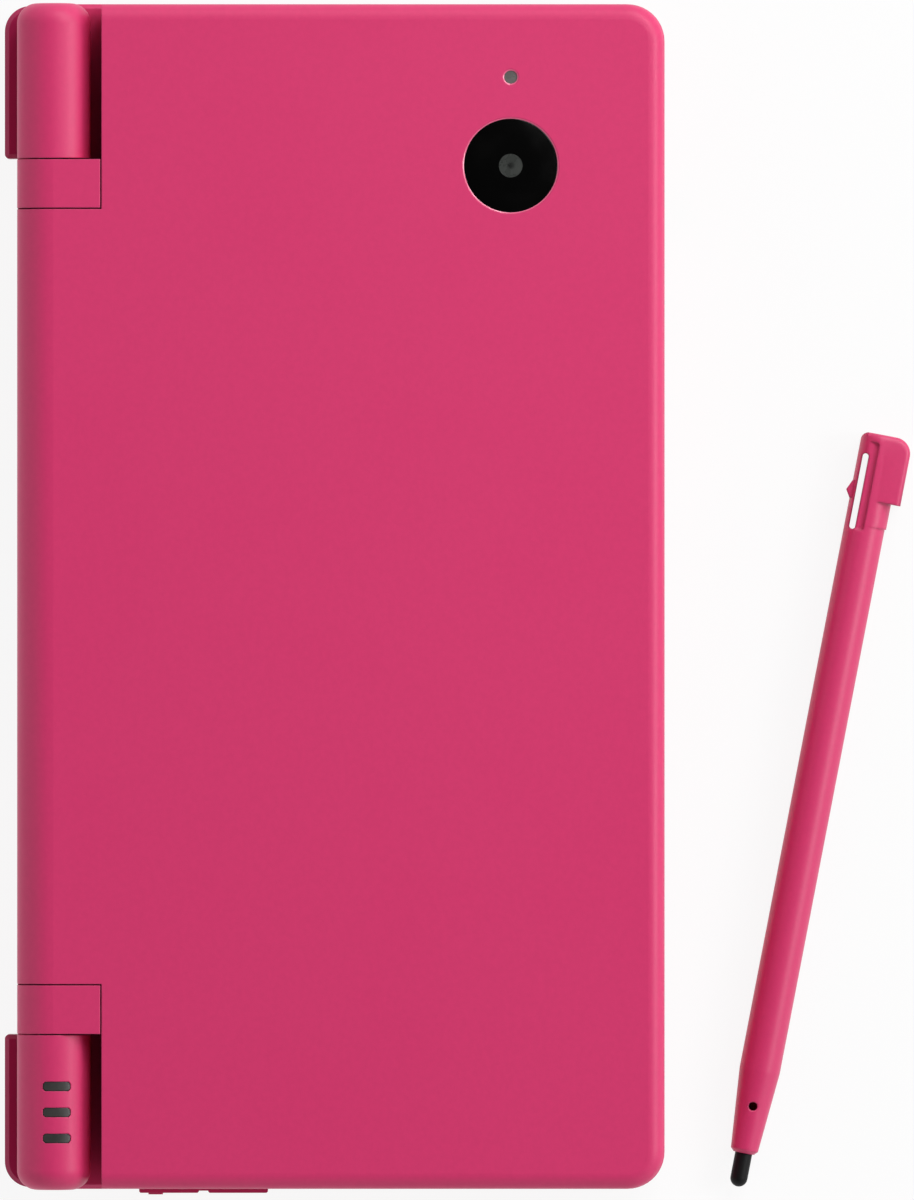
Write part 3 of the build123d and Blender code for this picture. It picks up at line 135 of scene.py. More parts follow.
class ConsoleColours(bpy.types.PropertyGroup):
    """Colours of the finishes."""

    shell: colour("Shell", "Satin case plastic", (0.628, 0.035, 0.143))
    # Rubbed edges of the case; also the lighter base of the holes' lips, where it is a painted
    # highlight.
    shell_wear_and_lip_highlight: colour("Worn edge", "Case plastic rubbed by hands", (0.72, 0.10, 0.22))
    # Shoulder buttons: the case's own plastic, darkened here as painted shade for the shadow under
    # the barrels.
    trigger_painted_shade: colour("Trigger", "Darker plastic of the shoulder buttons", (0.4, 0.01, 0.08))
    gloss_black: colour("Gloss black", "Camera window", (0.0015, 0.0015, 0.0015))
    matt_black: colour("Matt black", "Fine matt plastic", (0.004, 0.004, 0.0045))
    lens: colour("Lens", "Coated lens behind the window", (0.034, 0.037, 0.034))
    lamp: colour("Lamp", "Cloudy lamp lens, unlit", (0.12, 0.115, 0.11))
    rubber: colour("Rubber", "Soft pads", (0.055, 0.055, 0.06))
    steel: colour("Steel", "Zinc-plated steel", (0.55, 0.55, 0.56))
    sheet: colour("Sheet metal", "Bright sheet metal", (0.66, 0.66, 0.67))
    board: colour("Board", "Solder mask", (0.008, 0.085, 0.035))
    screen: colour("Screen", "Unlit display", (0.02, 0.023, 0.026))
    battery: colour("Battery", "Wrapped cell", (0.13, 0.13, 0.14))


class ConsoleStudio(bpy.types.PropertyGroup):
    """Where the camera stands and how the object is lit."""

    distance: length("Camera distance", "Height over the floor", 3.0)
    frame_height: length("Frame height", "What the picture shows along the console", 138.7 * MM)
    centre_x: FloatProperty(name="Centre X", description="Middle of the picture", unit="LENGTH",
                            default=-0.4 * MM)
    centre_y: FloatProperty(name="Centre Y", description="Middle of the picture", unit="LENGTH",
                            default=-13.4 * MM)
    focus_z: length("Scale height", "Height at which the picture's scale holds", 12 * MM)
    side: FloatProperty(name="Side power", description="Panel before the console, in watts",
                        default=2.8)
    end: FloatProperty(name="End power", description="Panel at the console's right, in watts",
                       default=2.1)
    corner: FloatProperty(name="Corner power", description="Panel between those two, in watts",
                          default=2.1)
    sheen: FloatProperty(name="Sheen power", description="Small near panel, in watts",
                         default=0.21)
    world: FloatProperty(name="World", description="Strength of the room's light", default=1.0)


# ---- Shared effects, as node groups -------------------------------------------------
def new_group(name, inputs, outputs):
    """An empty shader node group with these sockets: name, kind and default."""
    tree = bpy.data.node_groups.new(name, "ShaderNodeTree")
    for socket, kind, default in inputs:
        made = tree.interface.new_socket(name=socket, in_out="INPUT", socket_type=kind)
        if default is not None:
            made.default_value = default
    for socket, kind in outputs:
        tree.interface.new_socket(name=socket, in_out="OUTPUT", socket_type=kind)
    return tree, tree.nodes.new("NodeGroupInput"), tree.nodes.new("NodeGroupOutput")


def noise(tree, vector, scale, detail=2.0, roughness=0.5):
    """A noise texture; scale is a number or a socket."""
    node = tree.nodes.new("ShaderNodeTexNoise")
    node.inputs["Detail"].default_value = detail
    node.inputs["Roughness"].default_value = roughness
    tree.links.new(vector, node.inputs["Vector"])
    if isinstance(scale, (int, float)):
        node.inputs["Scale"].default_value = scale
    else:
        tree.links.new(scale, node.inputs["Scale"])
    return node.outputs["Fac"]


def math_node(tree, operation, first, second):
    """A math node on two sockets or numbers."""
    node = tree.nodes.new("ShaderNodeMath")
    node.operation = operation
    for index, value in enumerate((first, second)):
        if isinstance(value, (int, float)):
            node.inputs[index].default_value = value
        else:
            tree.links.new(value, node.inputs[index])
    return node.outputs[0]


def map_range(tree, value, low, high, to_low=0.0, to_high=1.0):
    """Clamped and smooth mapping of a value."""
    node = tree.nodes.new("ShaderNodeMapRange")
    node.interpolation_type = "SMOOTHSTEP"
    tree.links.new(value, node.inputs["Value"])
    for socket, number in zip(("From Min", "From Max", "To Min", "To Max"),
                              (low, high, to_low, to_high)):
        node.inputs[socket].default_value = number
    return node.outputs["Result"]


def make_grain_group():
    """Spark-eroded mould texture: fine pits with a soft larger unevenness."""
    tree, given, result = new_group(
        "mould_grain",
        [("Vector", "NodeSocketVector", None), ("Scale", "NodeSocketFloat", 9000.0)],
        [("Height", "NodeSocketFloat"), ("Variation", "NodeSocketFloat")],
    )
    fine = noise(tree, given.outputs["Vector"], given.outputs["Scale"], 1.0)
    coarse_scale = math_node(tree, "DIVIDE", given.outputs["Scale"], 6.0)
    coarse = noise(tree, given.outputs["Vector"], coarse_scale, 2.0)
    height = math_node(tree, "ADD", fine, math_node(tree, "MULTIPLY", coarse, 0.35))
    tree.links.new(height, result.inputs["Height"])
    tree.links.new(coarse, result.inputs["Variation"])


def make_edge_group():
    """Softly rounded edges, and a broken mask of where hands rub them."""
    tree, given, result = new_group(
        "soft_edges",
        [("Vector", "NodeSocketVector", None), ("Radius", "NodeSocketFloat", 0.15 * MM),
         ("Breakup", "NodeSocketFloat", 400.0)],
        [("Mask", "NodeSocketFloat"), ("Normal", "NodeSocketVector")],
    )
    rounded = tree.nodes.new("ShaderNodeBevel")
    rounded.samples = 6
    tree.links.new(given.outputs["Radius"], rounded.inputs["Radius"])
    geometry = tree.nodes.new("ShaderNodeNewGeometry")
    turn = tree.nodes.new("ShaderNodeVectorMath")
    turn.operation = "DOT_PRODUCT"
    tree.links.new(rounded.outputs["Normal"], turn.inputs[0])
    tree.links.new(geometry.outputs["Normal"], turn.inputs[1])
    edge = map_range(tree, turn.outputs["Value"], 0.98, 0.75)
    patches = noise(tree, given.outputs["Vector"], given.outputs["Breakup"], 4.0, 0.6)
    broken = map_range(tree, patches, 0.35, 0.6, 0.45, 1.0)
    tree.links.new(math_node(tree, "MULTIPLY", edge, broken), result.inputs["Mask"])
    tree.links.new(rounded.outputs["Normal"], result.inputs["Normal"])


def make_marks_group():
    """Soft handling marks, wide and faint."""
    tree, given, result = new_group(
        "handling_marks",
        [("Vector", "NodeSocketVector", None), ("Scale", "NodeSocketFloat", 45.0)],
        [("Mask", "NodeSocketFloat")],
    )
    patches = noise(tree, given.outputs["Vector"], given.outputs["Scale"], 5.0, 0.55)
    tree.links.new(map_range(tree, patches, 0.42, 0.68), result.inputs["Mask"])


GROUP_MAKERS = {
    "mould_grain": make_grain_group,
    "soft_edges": make_edge_group,
    "handling_marks": make_marks_group,
}


def place_group(tree, name, vector, **values):
    """An instance of a shared effect, with its own values."""
    if name not in bpy.data.node_groups:
        GROUP_MAKERS[name]()
    node = tree.nodes.new("ShaderNodeGroup")
    node.node_tree = bpy.data.node_groups[name]
    tree.links.new(vector, node.inputs["Vector"])
    for socket, value in values.items():
        node.inputs[socket].default_value = value
    return node


# ---- Finishes ----------------------------------------------------------------------
def new_finish(name):
    """An empty material: its tree, its principled shader and Object coordinates."""
    material = bpy.data.materials.new(name)
    material.use_nodes = True
    tree = material.node_tree
    tree.nodes.clear()
    output = tree.nodes.new("ShaderNodeOutputMaterial")
    shader = tree.nodes.new("ShaderNodeBsdfPrincipled")
    tree.links.new(shader.outputs["BSDF"], output.inputs["Surface"])
    place = tree.nodes.new("ShaderNodeTexCoord").outputs["Object"]
    return material, tree, shader, place


def mix(tree, factor, first, second):
    """A colour mix; each colour is a tuple or a socket."""
    node = tree.nodes.new("ShaderNodeMix")
    node.data_type = "RGBA"
    tree.links.new(factor, node.inputs["Factor"])
    for socket, value in (("A", first), ("B", second)):
        slot = next(s for s in node.inputs if s.name == socket and s.type == "RGBA")
        if isinstance(value, bpy.types.NodeSocket):
            tree.links.new(value, slot)
        else:
            slot.default_value = (*value, 1.0)
    return next(s for s in node.outputs if s.type == "RGBA")


def shade(tint, amount):
    """A lighter or darker form of a colour."""
    return tuple(min(1.0, channel * amount) for channel in tint)


def bump(tree, shader, height, distance, edges):
    """Gives the shader a surface relief of this depth over the rounded edges."""
    node = tree.nodes.new("ShaderNodeBump")
    node.inputs["Strength"].default_value = 0.6
    node.inputs["Distance"].default_value = distance
    tree.links.new(height, node.inputs["Height"])
    tree.links.new(edges.outputs["Normal"], node.inputs["Normal"])
    tree.links.new(node.outputs["Normal"], shader.inputs["Normal"])


def moulded(name, tint, worn_and_highlight, rough, radius, grain=9000.0, relief=0.012 * MM, gloss=0.36):
    """Moulded plastic: grain, faint colour variation, handled patches and rubbed edges."""
    material, tree, shader, place = new_finish(name)
    texture = place_group(tree, "mould_grain", place, Scale=grain)
    edges = place_group(tree, "soft_edges", place, Radius=radius)
    touched = place_group(tree, "handling_marks", place)
    varied = mix(tree, texture.outputs["Variation"], shade(tint, 0.95), shade(tint, 1.05))
    worn_mask = math_node(tree, "MULTIPLY", edges.outputs["Mask"], 0.3)
    tree.links.new(mix(tree, worn_mask, varied, worn_and_highlight), shader.inputs["Base Color"])
    roughness = map_range(tree, touched.outputs["Mask"], 0.0, 1.0, rough, rough - 0.025)
    tree.links.new(roughness, shader.inputs["Roughness"])
    shader.inputs["Specular IOR Level"].default_value = gloss
    bump(tree, shader, texture.outputs["Height"], relief, edges)
    return material


def polished(name, tint, rough=0.06, radius=0.15 * MM):
    """Hard glossy plastic or glass with faint smudges."""
    material, tree, shader, place = new_finish(name)
    touched = place_group(tree, "handling_marks", place, Scale=180.0)
    texture = place_group(tree, "mould_grain", place, Scale=2500.0)
    edges = place_group(tree, "soft_edges", place, Radius=radius)
    tree.links.new(
        mix(tree, texture.outputs["Variation"], shade(tint, 0.85), shade(tint, 1.15)),
        shader.inputs["Base Color"],
    )
    tree.links.new(
        map_range(tree, touched.outputs["Mask"], 0.0, 1.0, rough, rough + 0.06),
        shader.inputs["Roughness"],
    )
    tree.links.new(edges.outputs["Normal"], shader.inputs["Normal"])
    return material


def metal(name, tint, rough, grain=4000.0, stretch=(1.0, 1.0, 1.0)):
    """Plated or rolled metal, its grain drawn out along one axis."""
    material, tree, shader, place = new_finish(name)
    drawn = tree.nodes.new("ShaderNodeMapping")
    drawn.inputs["Scale"].default_value = stretch
    tree.links.new(place, drawn.inputs["Vector"])
    texture = place_group(tree, "mould_grain", drawn.outputs["Vector"], Scale=grain)
    edges = place_group(tree, "soft_edges", place, Radius=0.06 * MM)
    varied = mix(tree, texture.outputs["Variation"], shade(tint, 0.82), shade(tint, 1.1))
    tree.links.new(mix(tree, edges.outputs["Mask"], varied, shade(tint, 1.35)),
                   shader.inputs["Base Color"])
    tree.links.new(
        map_range(tree, texture.outputs["Variation"], 0.3, 0.7, rough - 0.08, rough + 0.1),
        shader.inputs["Roughness"],
    )
    shader.inputs["Metallic"].default_value = 1.0
    bump(tree, shader, texture.outputs["Height"], 0.004 * MM, edges)
    return material


def circuit(name, tint):
    """Solder mask over copper tracks, as raised straight lines."""
    material, tree, shader, place = new_finish(name)
    tracks = tree.nodes.new("ShaderNodeTexBrick")
    tracks.inputs["Scale"].default_value = 260.0
    tracks.inputs["Mortar Size"].default_value = 0.035
    tree.links.new(place, tracks.inputs["Vector"])
    texture = place_group(tree, "mould_grain", place, Scale=3000.0)
    edges = place_group(tree, "soft_edges", place, Radius=0.05 * MM)
    base = mix(tree, texture.outputs["Variation"], shade(tint, 0.8), shade(tint, 1.2))
    tree.links.new(mix(tree, tracks.outputs["Fac"], base, shade(tint, 1.9)),
                   shader.inputs["Base Color"])
    tree.links.new(map_range(tree, texture.outputs["Variation"], 0.3, 0.7, 0.3, 0.42),
                   shader.inputs["Roughness"])
    bump(tree, shader, tracks.outputs["Fac"], 0.03 * MM, edges)
    return material


def cloudy(name, tint, rough):
    """A cloudy lamp lens: grey and smooth, paler where the cloud is thicker."""
    material, tree, shader, place = new_finish(name)
    cloud = noise(tree, place, 700.0, 3.0)
    edges = place_group(tree, "soft_edges", place, Radius=0.1 * MM)
    tree.links.new(mix(tree, cloud, shade(tint, 0.75), shade(tint, 1.25)),
                   shader.inputs["Base Color"])
    tree.links.new(map_range(tree, cloud, 0.3, 0.7, rough, rough + 0.1),
                   shader.inputs["Roughness"])
    tree.links.new(edges.outputs["Normal"], shader.inputs["Normal"])
    return material


def coated(name, tint, centre, pupil_radius):
    """A coated lens: grey, with a soft dark pupil in its middle."""
    material, tree, shader, place = new_finish(name)
    centred = tree.nodes.new("ShaderNodeMapping")
    centred.inputs["Location"].default_value = (-centre.x, -centre.y, 0)
    centred.inputs["Scale"].default_value = (1, 1, 0)
    tree.links.new(place, centred.inputs["Vector"])
    reach = tree.nodes.new("ShaderNodeVectorMath")
    reach.operation = "LENGTH"
    tree.links.new(centred.outputs["Vector"], reach.inputs[0])
    outside = map_range(tree, reach.outputs["Value"], 0.15 * pupil_radius, pupil_radius)
    cloud = noise(tree, place, 900.0, 3.0)
    rim = mix(tree, cloud, shade(tint, 0.9), shade(tint, 1.1))
    tree.links.new(mix(tree, outside, shade(tint, 0.25), rim), shader.inputs["Base Color"])
    tree.links.new(map_range(tree, cloud, 0.3, 0.7, 0.25, 0.35), shader.inputs["Roughness"])
    return material


def finish(name):
    """The material of this name, made on first use."""
    if name in bpy.data.materials:
        return bpy.data.materials[name]
    tints = bpy.context.scene.console_colours
    edges = bpy.context.scene.console_edges
    shell, worn_and_highlight, trigger_painted_shade = tuple(tints.shell), tuple(tints.shell_wear_and_lip_highlight), tuple(tints.trigger_painted_shade)
    black, rubber, cell = tuple(tints.matt_black), tuple(tints.rubber), tuple(tints.battery)
    makers = {
        "satin_shell": lambda: moulded(name, shell, worn_and_highlight, 0.46, edges.shell),
        "button_cap": lambda: moulded(name, shell, worn_and_highlight, 0.42, edges.button, 14000.0, 0.006 * MM),
        # The lips are case plastic; their lighter tint is a painted highlight for the pale rim
        # round the holes.
        "hole_lip_painted_highlight": lambda: moulded(name, worn_and_highlight, shade(worn_and_highlight, 1.2), 0.3, 0.01 * MM, 14000.0,
                                    0.003 * MM, 0.7),
        "stylus_shell": lambda: moulded(name, shade(shell, 0.95), worn_and_highlight, 0.4, edges.stylus, 12000.0,
                                        gloss=0.5),
        # Darker copy of the shell's colour on the shoulder buttons: painted shade.
        "trigger_cap_painted_shade": lambda: moulded(name, trigger_painted_shade, shade(trigger_painted_shade, 1.5), 0.45, edges.button),
        "matt_black_plastic": lambda: moulded(name, black, shade(black, 2.2), 0.5, edges.button,
                                              gloss=0.2),
        "soft_rubber": lambda: moulded(name, rubber, shade(rubber, 1.4), 0.75, edges.button,
                                       5000.0),
        "cell_wrap": lambda: moulded(name, cell, shade(cell, 1.5), 0.42, edges.shell, 2500.0),
        "camera_gloss": lambda: polished(name, tuple(tints.gloss_black), 0.1, 0.02 * MM),
        "screen_glass": lambda: polished(name, tuple(tints.screen), 0.05),
        "display_module": lambda: polished(name, shade(tints.screen, 0.7), 0.2),
        "lens_coating": lambda: coated(name, tuple(tints.lens), middle("outer_camera_window"),
                                       bpy.context.scene.console_camera.pupil_radius),
        "cloudy_lamp": lambda: cloudy(name, tuple(tints.lamp), 0.24),
        "smoked_lamp": lambda: cloudy(name, shade(tints.lamp, 0.3), 0.36),
        "plated_steel": lambda: metal(name, tuple(tints.steel), 0.34),
        "blackened_steel": lambda: metal(name, shade(tints.steel, 0.05), 0.45),
        "rolled_sheet": lambda: metal(name, tuple(tints.sheet), 0.3, 2500.0, (0.06, 1.0, 1.0)),
        "circuit_board": lambda: circuit(name, tuple(tints.board)),
    }
    return makers[name]()


# ---- Meshes --------------------------------------------------------------------------
def add_piece(name, mesh, finish_name, body, nodes=()):
    """Links a finished mesh as an object, with its finish, body and slot."""
    piece = bpy.data.objects.new(name, mesh)
    bpy.context.scene.collection.objects.link(piece)
    mesh.materials.append(finish(finish_name))
    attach(piece, body)
    if nodes:
        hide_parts(*nodes)
    return piece


def merged_copy(node):
    """A solid's mesh with its loose triangles joined."""
    part = bmesh.new()
    part.from_mesh(frame["nodes"][node].data)
    bmesh.ops.remove_doubles(part, verts=part.verts, dist=MERGE)
    return part


def keep_shading(mesh, node):
    """Gives a changed copy of a solid the solid's own normals wherever its corners are kept."""
    solid = frame["nodes"][node].data
    corners = kdtree.KDTree(len(solid.loops))
    for index, loop in enumerate(solid.loops):
        corners.insert(solid.vertices[loop.vertex_index].co, index)
    corners.balance()
    normals = []
    for face in mesh.polygons:
        for index in face.loop_indices:
            spot = mesh.vertices[mesh.loops[index].vertex_index].co
            known = [solid.corner_normals[at].vector.copy()
                     for _, at, _ in corners.find_range(spot, SAME_CORNER)]
            own = (mesh.corner_normals[index].vector if face.use_smooth else face.normal).copy()
            best = max(known, key=face.normal.dot, default=own)
            normals.append(best if best.dot(face.normal) > SAME_FACE else own)
    mesh.normals_split_custom_set(normals)


def dress(finish_name, *nodes):
    """Gives solids their finish."""
    for node in nodes:
        for slot in frame["nodes"][node].material_slots:
            slot.material = finish(finish_name)


def turned_piece(name, outline, centre, finish_name, body, nodes=(), ring=False):
    """A turned piece: its outline, as radius and height, spun about a vertical line."""
    part = bmesh.new()
    points = [part.verts.new((centre.x + radius, centre.y, height)) for radius, height in outline]
    following = points[1:] + points[:1] if ring else points[1:]
    runs = [part.edges.new(pair) for pair in zip(points, following)]
    bmesh.ops.spin(
        part, geom=points + runs, cent=centre, axis=(0, 0, 1), dvec=(0, 0, 0),
        angle=2 * math.pi, steps=72, use_merge=True, use_duplicate=False,
    )
    bmesh.ops.remove_doubles(part, verts=part.verts, dist=MERGE)
    bmesh.ops.recalc_face_normals(part, faces=part.faces)
    for face in part.faces:
        face.smooth = True
    mesh = bpy.data.meshes.new(name)
    part.to_mesh(mesh)
    part.free()
    mesh.set_sharp_from_angle(angle=TURNED_CREASE)
    return add_piece(name, mesh, finish_name, body, nodes)


def rounded_step(radius, height, bevel, steps=5):
    """Outline points of a rounded outer edge, from the side up to the top face."""
    return [
        (radius - bevel + bevel * math.cos(turn), height - bevel + bevel * math.sin(turn))
        for turn in (math.pi / 2 * step / steps for step in range(steps + 1))
    ]


class ConsoleOperator(bpy.types.Operator):
    """Base of the operators below."""

    bl_options = {"REGISTER", "UNDO"}


# ---- One operator for each piece or group of like pieces -----------------------------
class CONSOLE_OT_lid(ConsoleOperator):
    """Finishes the lid: outer cover, inner frame and rubber bumpers"""

    bl_idname = "console.lid"
    bl_label = "Lid"

    def execute(self, context):
        dress("satin_shell", "lid_outer_cover", "lid_inner_frame")
        dress("soft_rubber", "lid_bumpers")
        return {"FINISHED"}


class CONSOLE_OT_base(ConsoleOperator):
    """Finishes the base: lower case, upper case with barrels, battery cover"""

    bl_idname = "console.base"
    bl_label = "Base"

    def execute(self, context):
        dress("satin_shell", "base_upper_case", "base_lower_case", "battery_cover")
        return {"FINISHED"}


class CONSOLE_OT_camera(ConsoleOperator):
    """Makes the outer camera's window, lens and lips, and finishes the light beside it"""

    bl_idname = "console.camera"
    bl_label = "Outer camera"

    def execute(self, context):
        sizes = context.scene.console_camera
        low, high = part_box("outer_camera_window")
        centre = middle("outer_camera_window")
        hole, lid_top = (high.x - low.x) / 2 + sizes.seam / 2, high.z
        radius, top = hole - sizes.lip_width - 2 * sizes.gap, lid_top - sizes.window_sink
        floor, under = top - sizes.lens_sink, top - 2 * sizes.lens_sink
        outline = [(0, low.z), (radius, low.z)]
        outline += rounded_step(radius, top, sizes.window_bevel)
        outline += [(sizes.lens_radius, top), (sizes.lens_radius, under), (0, under)]
        body, slot = BODY_OF["outer_camera_window"], SLOT_OF["outer_camera_window"]
        turned_piece("camera_window_glass", outline, centre, "camera_gloss", body,
                     ("outer_camera_window",))
        lens_edge = sizes.lens_radius - sizes.gap
        lens = [(0, under), (lens_edge, under), (lens_edge, floor), (sizes.pupil_radius, floor),
                (0, (floor + under) / 2)]
        turned_piece("camera_lens", lens, centre, "lens_coating", body)
        self.make_lip("camera_hole_lip", "outer_camera_window", hole, lid_top, sizes)
        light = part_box("camera_light_lens")
        light_hole = (light[1].x - light[0].x) / 2 + sizes.seam / 2
        self.make_lip("light_hole_lip", "camera_light_lens", light_hole, lid_top, sizes)
        dress("cloudy_lamp", "camera_light_lens")
        return {"FINISHED"}

    def make_lip(self, name, node, hole, lid_top, sizes):
        """The sloped lip of a round hole in the lid, down to the piece that fills it, in a lighter
        tint that is a painted highlight.
        """
        outer, inner = hole - sizes.gap, hole - sizes.lip_width
        outline = [
            (outer, lid_top - sizes.gap), (inner, lid_top - sizes.lip_depth + sizes.gap),
            (inner, lid_top - sizes.lip_depth), (outer, lid_top - sizes.lip_depth),
        ]
        turned_piece(name, outline, middle(node), "hole_lip_painted_highlight", BODY_OF["lid_outer_cover"],
                     ring=True)


class CONSOLE_OT_status_lights(ConsoleOperator):
    """Finishes the three status light lenses in the left barrel"""

    bl_idname = "console.status_lights"
    bl_label = "Status lights"

    def execute(self, context):
        dress("smoked_lamp", "status_light_lenses")
        return {"FINISHED"}


class CONSOLE_OT_controls(ConsoleOperator):
    """Finishes the shoulder buttons, volume rocker, memory card door, D-pad and buttons"""

    bl_idname = "console.controls"
    bl_label = "Buttons"

    def execute(self, context):
        dress("trigger_cap_painted_shade", "shoulder_button_left", "shoulder_button_right")
        dress("button_cap", "volume_rocker", "dpad", "button_a", "button_b", "button_x",
              "button_y", "start_button", "select_button", "power_button")
        dress("satin_shell", "sd_slot_cover")
        return {"FINISHED"}


class CONSOLE_OT_screens(ConsoleOperator):
    """Finishes the windows over both screens and the eye in the hinge"""

    bl_idname = "console.screens"
    bl_label = "Screens"

    def execute(self, context):
        dress("screen_glass", "upper_screen_window", "touch_panel")
        dress("camera_gloss", "inner_camera_window")
        return {"FINISHED"}


class CONSOLE_OT_stylus(ConsoleOperator):
    """Makes the stylus's body with a soft rim and a blind hole, and finishes its tip"""

    bl_idname = "console.stylus"
    bl_label = "Stylus"

    def execute(self, context):
        sizes = context.scene.console_stylus
        self.point = Vector(sizes.point)
        self.along = Vector((math.cos(sizes.lean), math.sin(sizes.lean), 0))
        self.across = Vector((-self.along.y, self.along.x, 0))
        dress("stylus_shell", "stylus_body")
        dress("matt_black_plastic", "stylus_tip")
        part = merged_copy("stylus_body")
        self.close_hole(part, sizes)
        head = [vert for vert in part.verts if self.place(vert.co).x > sizes.head_start]
        within = [edge for edge in part.edges
                  if all(self.place(vert.co).x > sizes.head_start for vert in edge.verts)]
        bmesh.ops.dissolve_limit(part, angle_limit=math.radians(0.5), verts=head, edges=within)
        rim = [edge for edge in part.edges if self.on_rim(edge, sizes)]
        if not rim:
            raise RuntimeError("the flange's rim wasn't found")
        bmesh.ops.bevel(part, geom=rim, offset=sizes.rim_bevel, offset_type="OFFSET", segments=5,
                        profile=0.5, affect="EDGES", material=-1, clamp_overlap=False)
        for face in part.faces:
            face.material_index = 0
            turned = max(abs(face.normal.z), abs(face.normal.dot(self.along)),
                         abs(face.normal.dot(self.across))) < TRUE_TO_AXIS
            face.smooth = turned or self.place(face.calc_center_median()).x < sizes.head_start
        mesh = bpy.data.meshes.new("stylus_shell_body")
        part.to_mesh(mesh)
        part.free()
        mesh.set_sharp_from_angle(angle=STYLUS_CREASE)
        keep_shading(mesh, "stylus_body")
        add_piece("stylus_shell_body", mesh, "stylus_shell", BODY_OF["stylus_body"],
                  ("stylus_body",))
        return {"FINISHED"}

    def place(self, where):
        """A point as its distance along the stylus, across it and over the table."""
        offset = where - self.point
        return Vector((offset.dot(self.along), offset.dot(self.across), offset.z))

    def close_hole(self, part, sizes):
        """Leaves a web in the small hole, so that it is blind from above."""
        middle_line = Vector((sizes.hole_at, 0))
        reach = 1.1 * sizes.hole_radius
        for height in (sizes.web_low, sizes.web_high):
            walls = self.hole_walls(part, middle_line, reach)
            edges = {edge for face in walls for edge in face.edges}
            corners = {vert for face in walls for vert in face.verts}
            bmesh.ops.bisect_plane(part, geom=[*walls, *edges, *corners],
                                   plane_co=(0, 0, height), plane_no=(0, 0, 1))
        web = [
            face for face in self.hole_walls(part, middle_line, reach)
            if sizes.web_low < face.calc_center_median().z < sizes.web_high
        ]
        bmesh.ops.delete(part, geom=web, context="FACES")
        bmesh.ops.holes_fill(part, edges=[e for e in part.edges if e.is_boundary], sides=0)

    def hole_walls(self, part, middle_line, reach):
        """The upright faces round the small hole."""
        return [
            face for face in part.faces
            if abs(face.normal.z) < 0.01
            and all((self.place(vert.co).xy - middle_line).length < reach for vert in face.verts)
        ]

    def on_rim(self, edge, sizes):
        """Whether an edge is part of the upper rim of the flange and of the flat end."""
        if len(edge.link_faces) != 2 or edge.calc_face_angle(0) < RIM_CREASE:
            return False
        near = sizes.near
        ends = [self.place(vert.co) for vert in edge.verts]
        flange = all(
            end.x > sizes.flange_start - near and end.y < -sizes.flange_inside
            and abs(end.z - sizes.face_height) < near for end in ends
        )
        foot = all(end.x < sizes.flange_start + near for end in ends)
        flat_end = all(end.x > sizes.overall - near and end.z > sizes.end_height for end in ends)
        return (flange and not foot) or flat_end


INNER_FINISHES = {
    "matt_black_plastic": (
        "headphone_jack", "charge_connector", "stylus_sleeve", "speaker_left", "speaker_right",
        "outer_camera_module", "inner_camera_module", "microphone", "shoulder_switches",
        "volume_switch",
    ),
    "soft_rubber": (
        "action_button_rubber", "menu_button_rubber", "power_switch", "dpad_rubber",
    ),
    "plated_steel": (
        "shoulder_pins", "volume_pin", "case_screws", "lid_screws", "battery_cover_screws",
    ),
    "blackened_steel": ("hinge_shafts", "hinge_clutches"),
    "rolled_sheet": ("game_card_slot", "sd_card_slot"),
    "circuit_board": ("main_board", "wireless_module"),
    "cell_wrap": ("battery_pack",),
    "display_module": ("upper_screen", "lower_screen"),
}


class CONSOLE_OT_inner_parts(ConsoleOperator):
    """Gives the parts inside the console their finishes"""

    bl_idname = "console.inner_parts"
    bl_label = "Inner parts"

    def execute(self, context):
        for finish_name, nodes in INNER_FINISHES.items():
            dress(finish_name, *nodes)
        return {"FINISHED"}


# ---- Studio --------------------------------------------------------------------------
def area_lamp(name, place, target, size, power):
    """A square soft lamp that faces a point."""
    light = bpy.data.lights.new(name, "AREA")
    light.size = size
    light.energy = power
    lamp = bpy.data.objects.new(name, light)
    lamp.location = place
    direction = Vector(target) - Vector(place)
    lamp.rotation_euler = direction.to_track_quat("-Z", "Y").to_euler()
    bpy.context.scene.collection.objects.link(lamp)


def seen_rays(tree):
    """One for rays that the eye sees directly, by reflection or through glass."""
    path = tree.nodes.new("ShaderNodeLightPath").outputs
    near = math_node(tree, "MAXIMUM", path["Is Camera Ray"], path["Is Glossy Ray"])
    return math_node(tree, "MAXIMUM", near, path["Is Transmission Ray"])


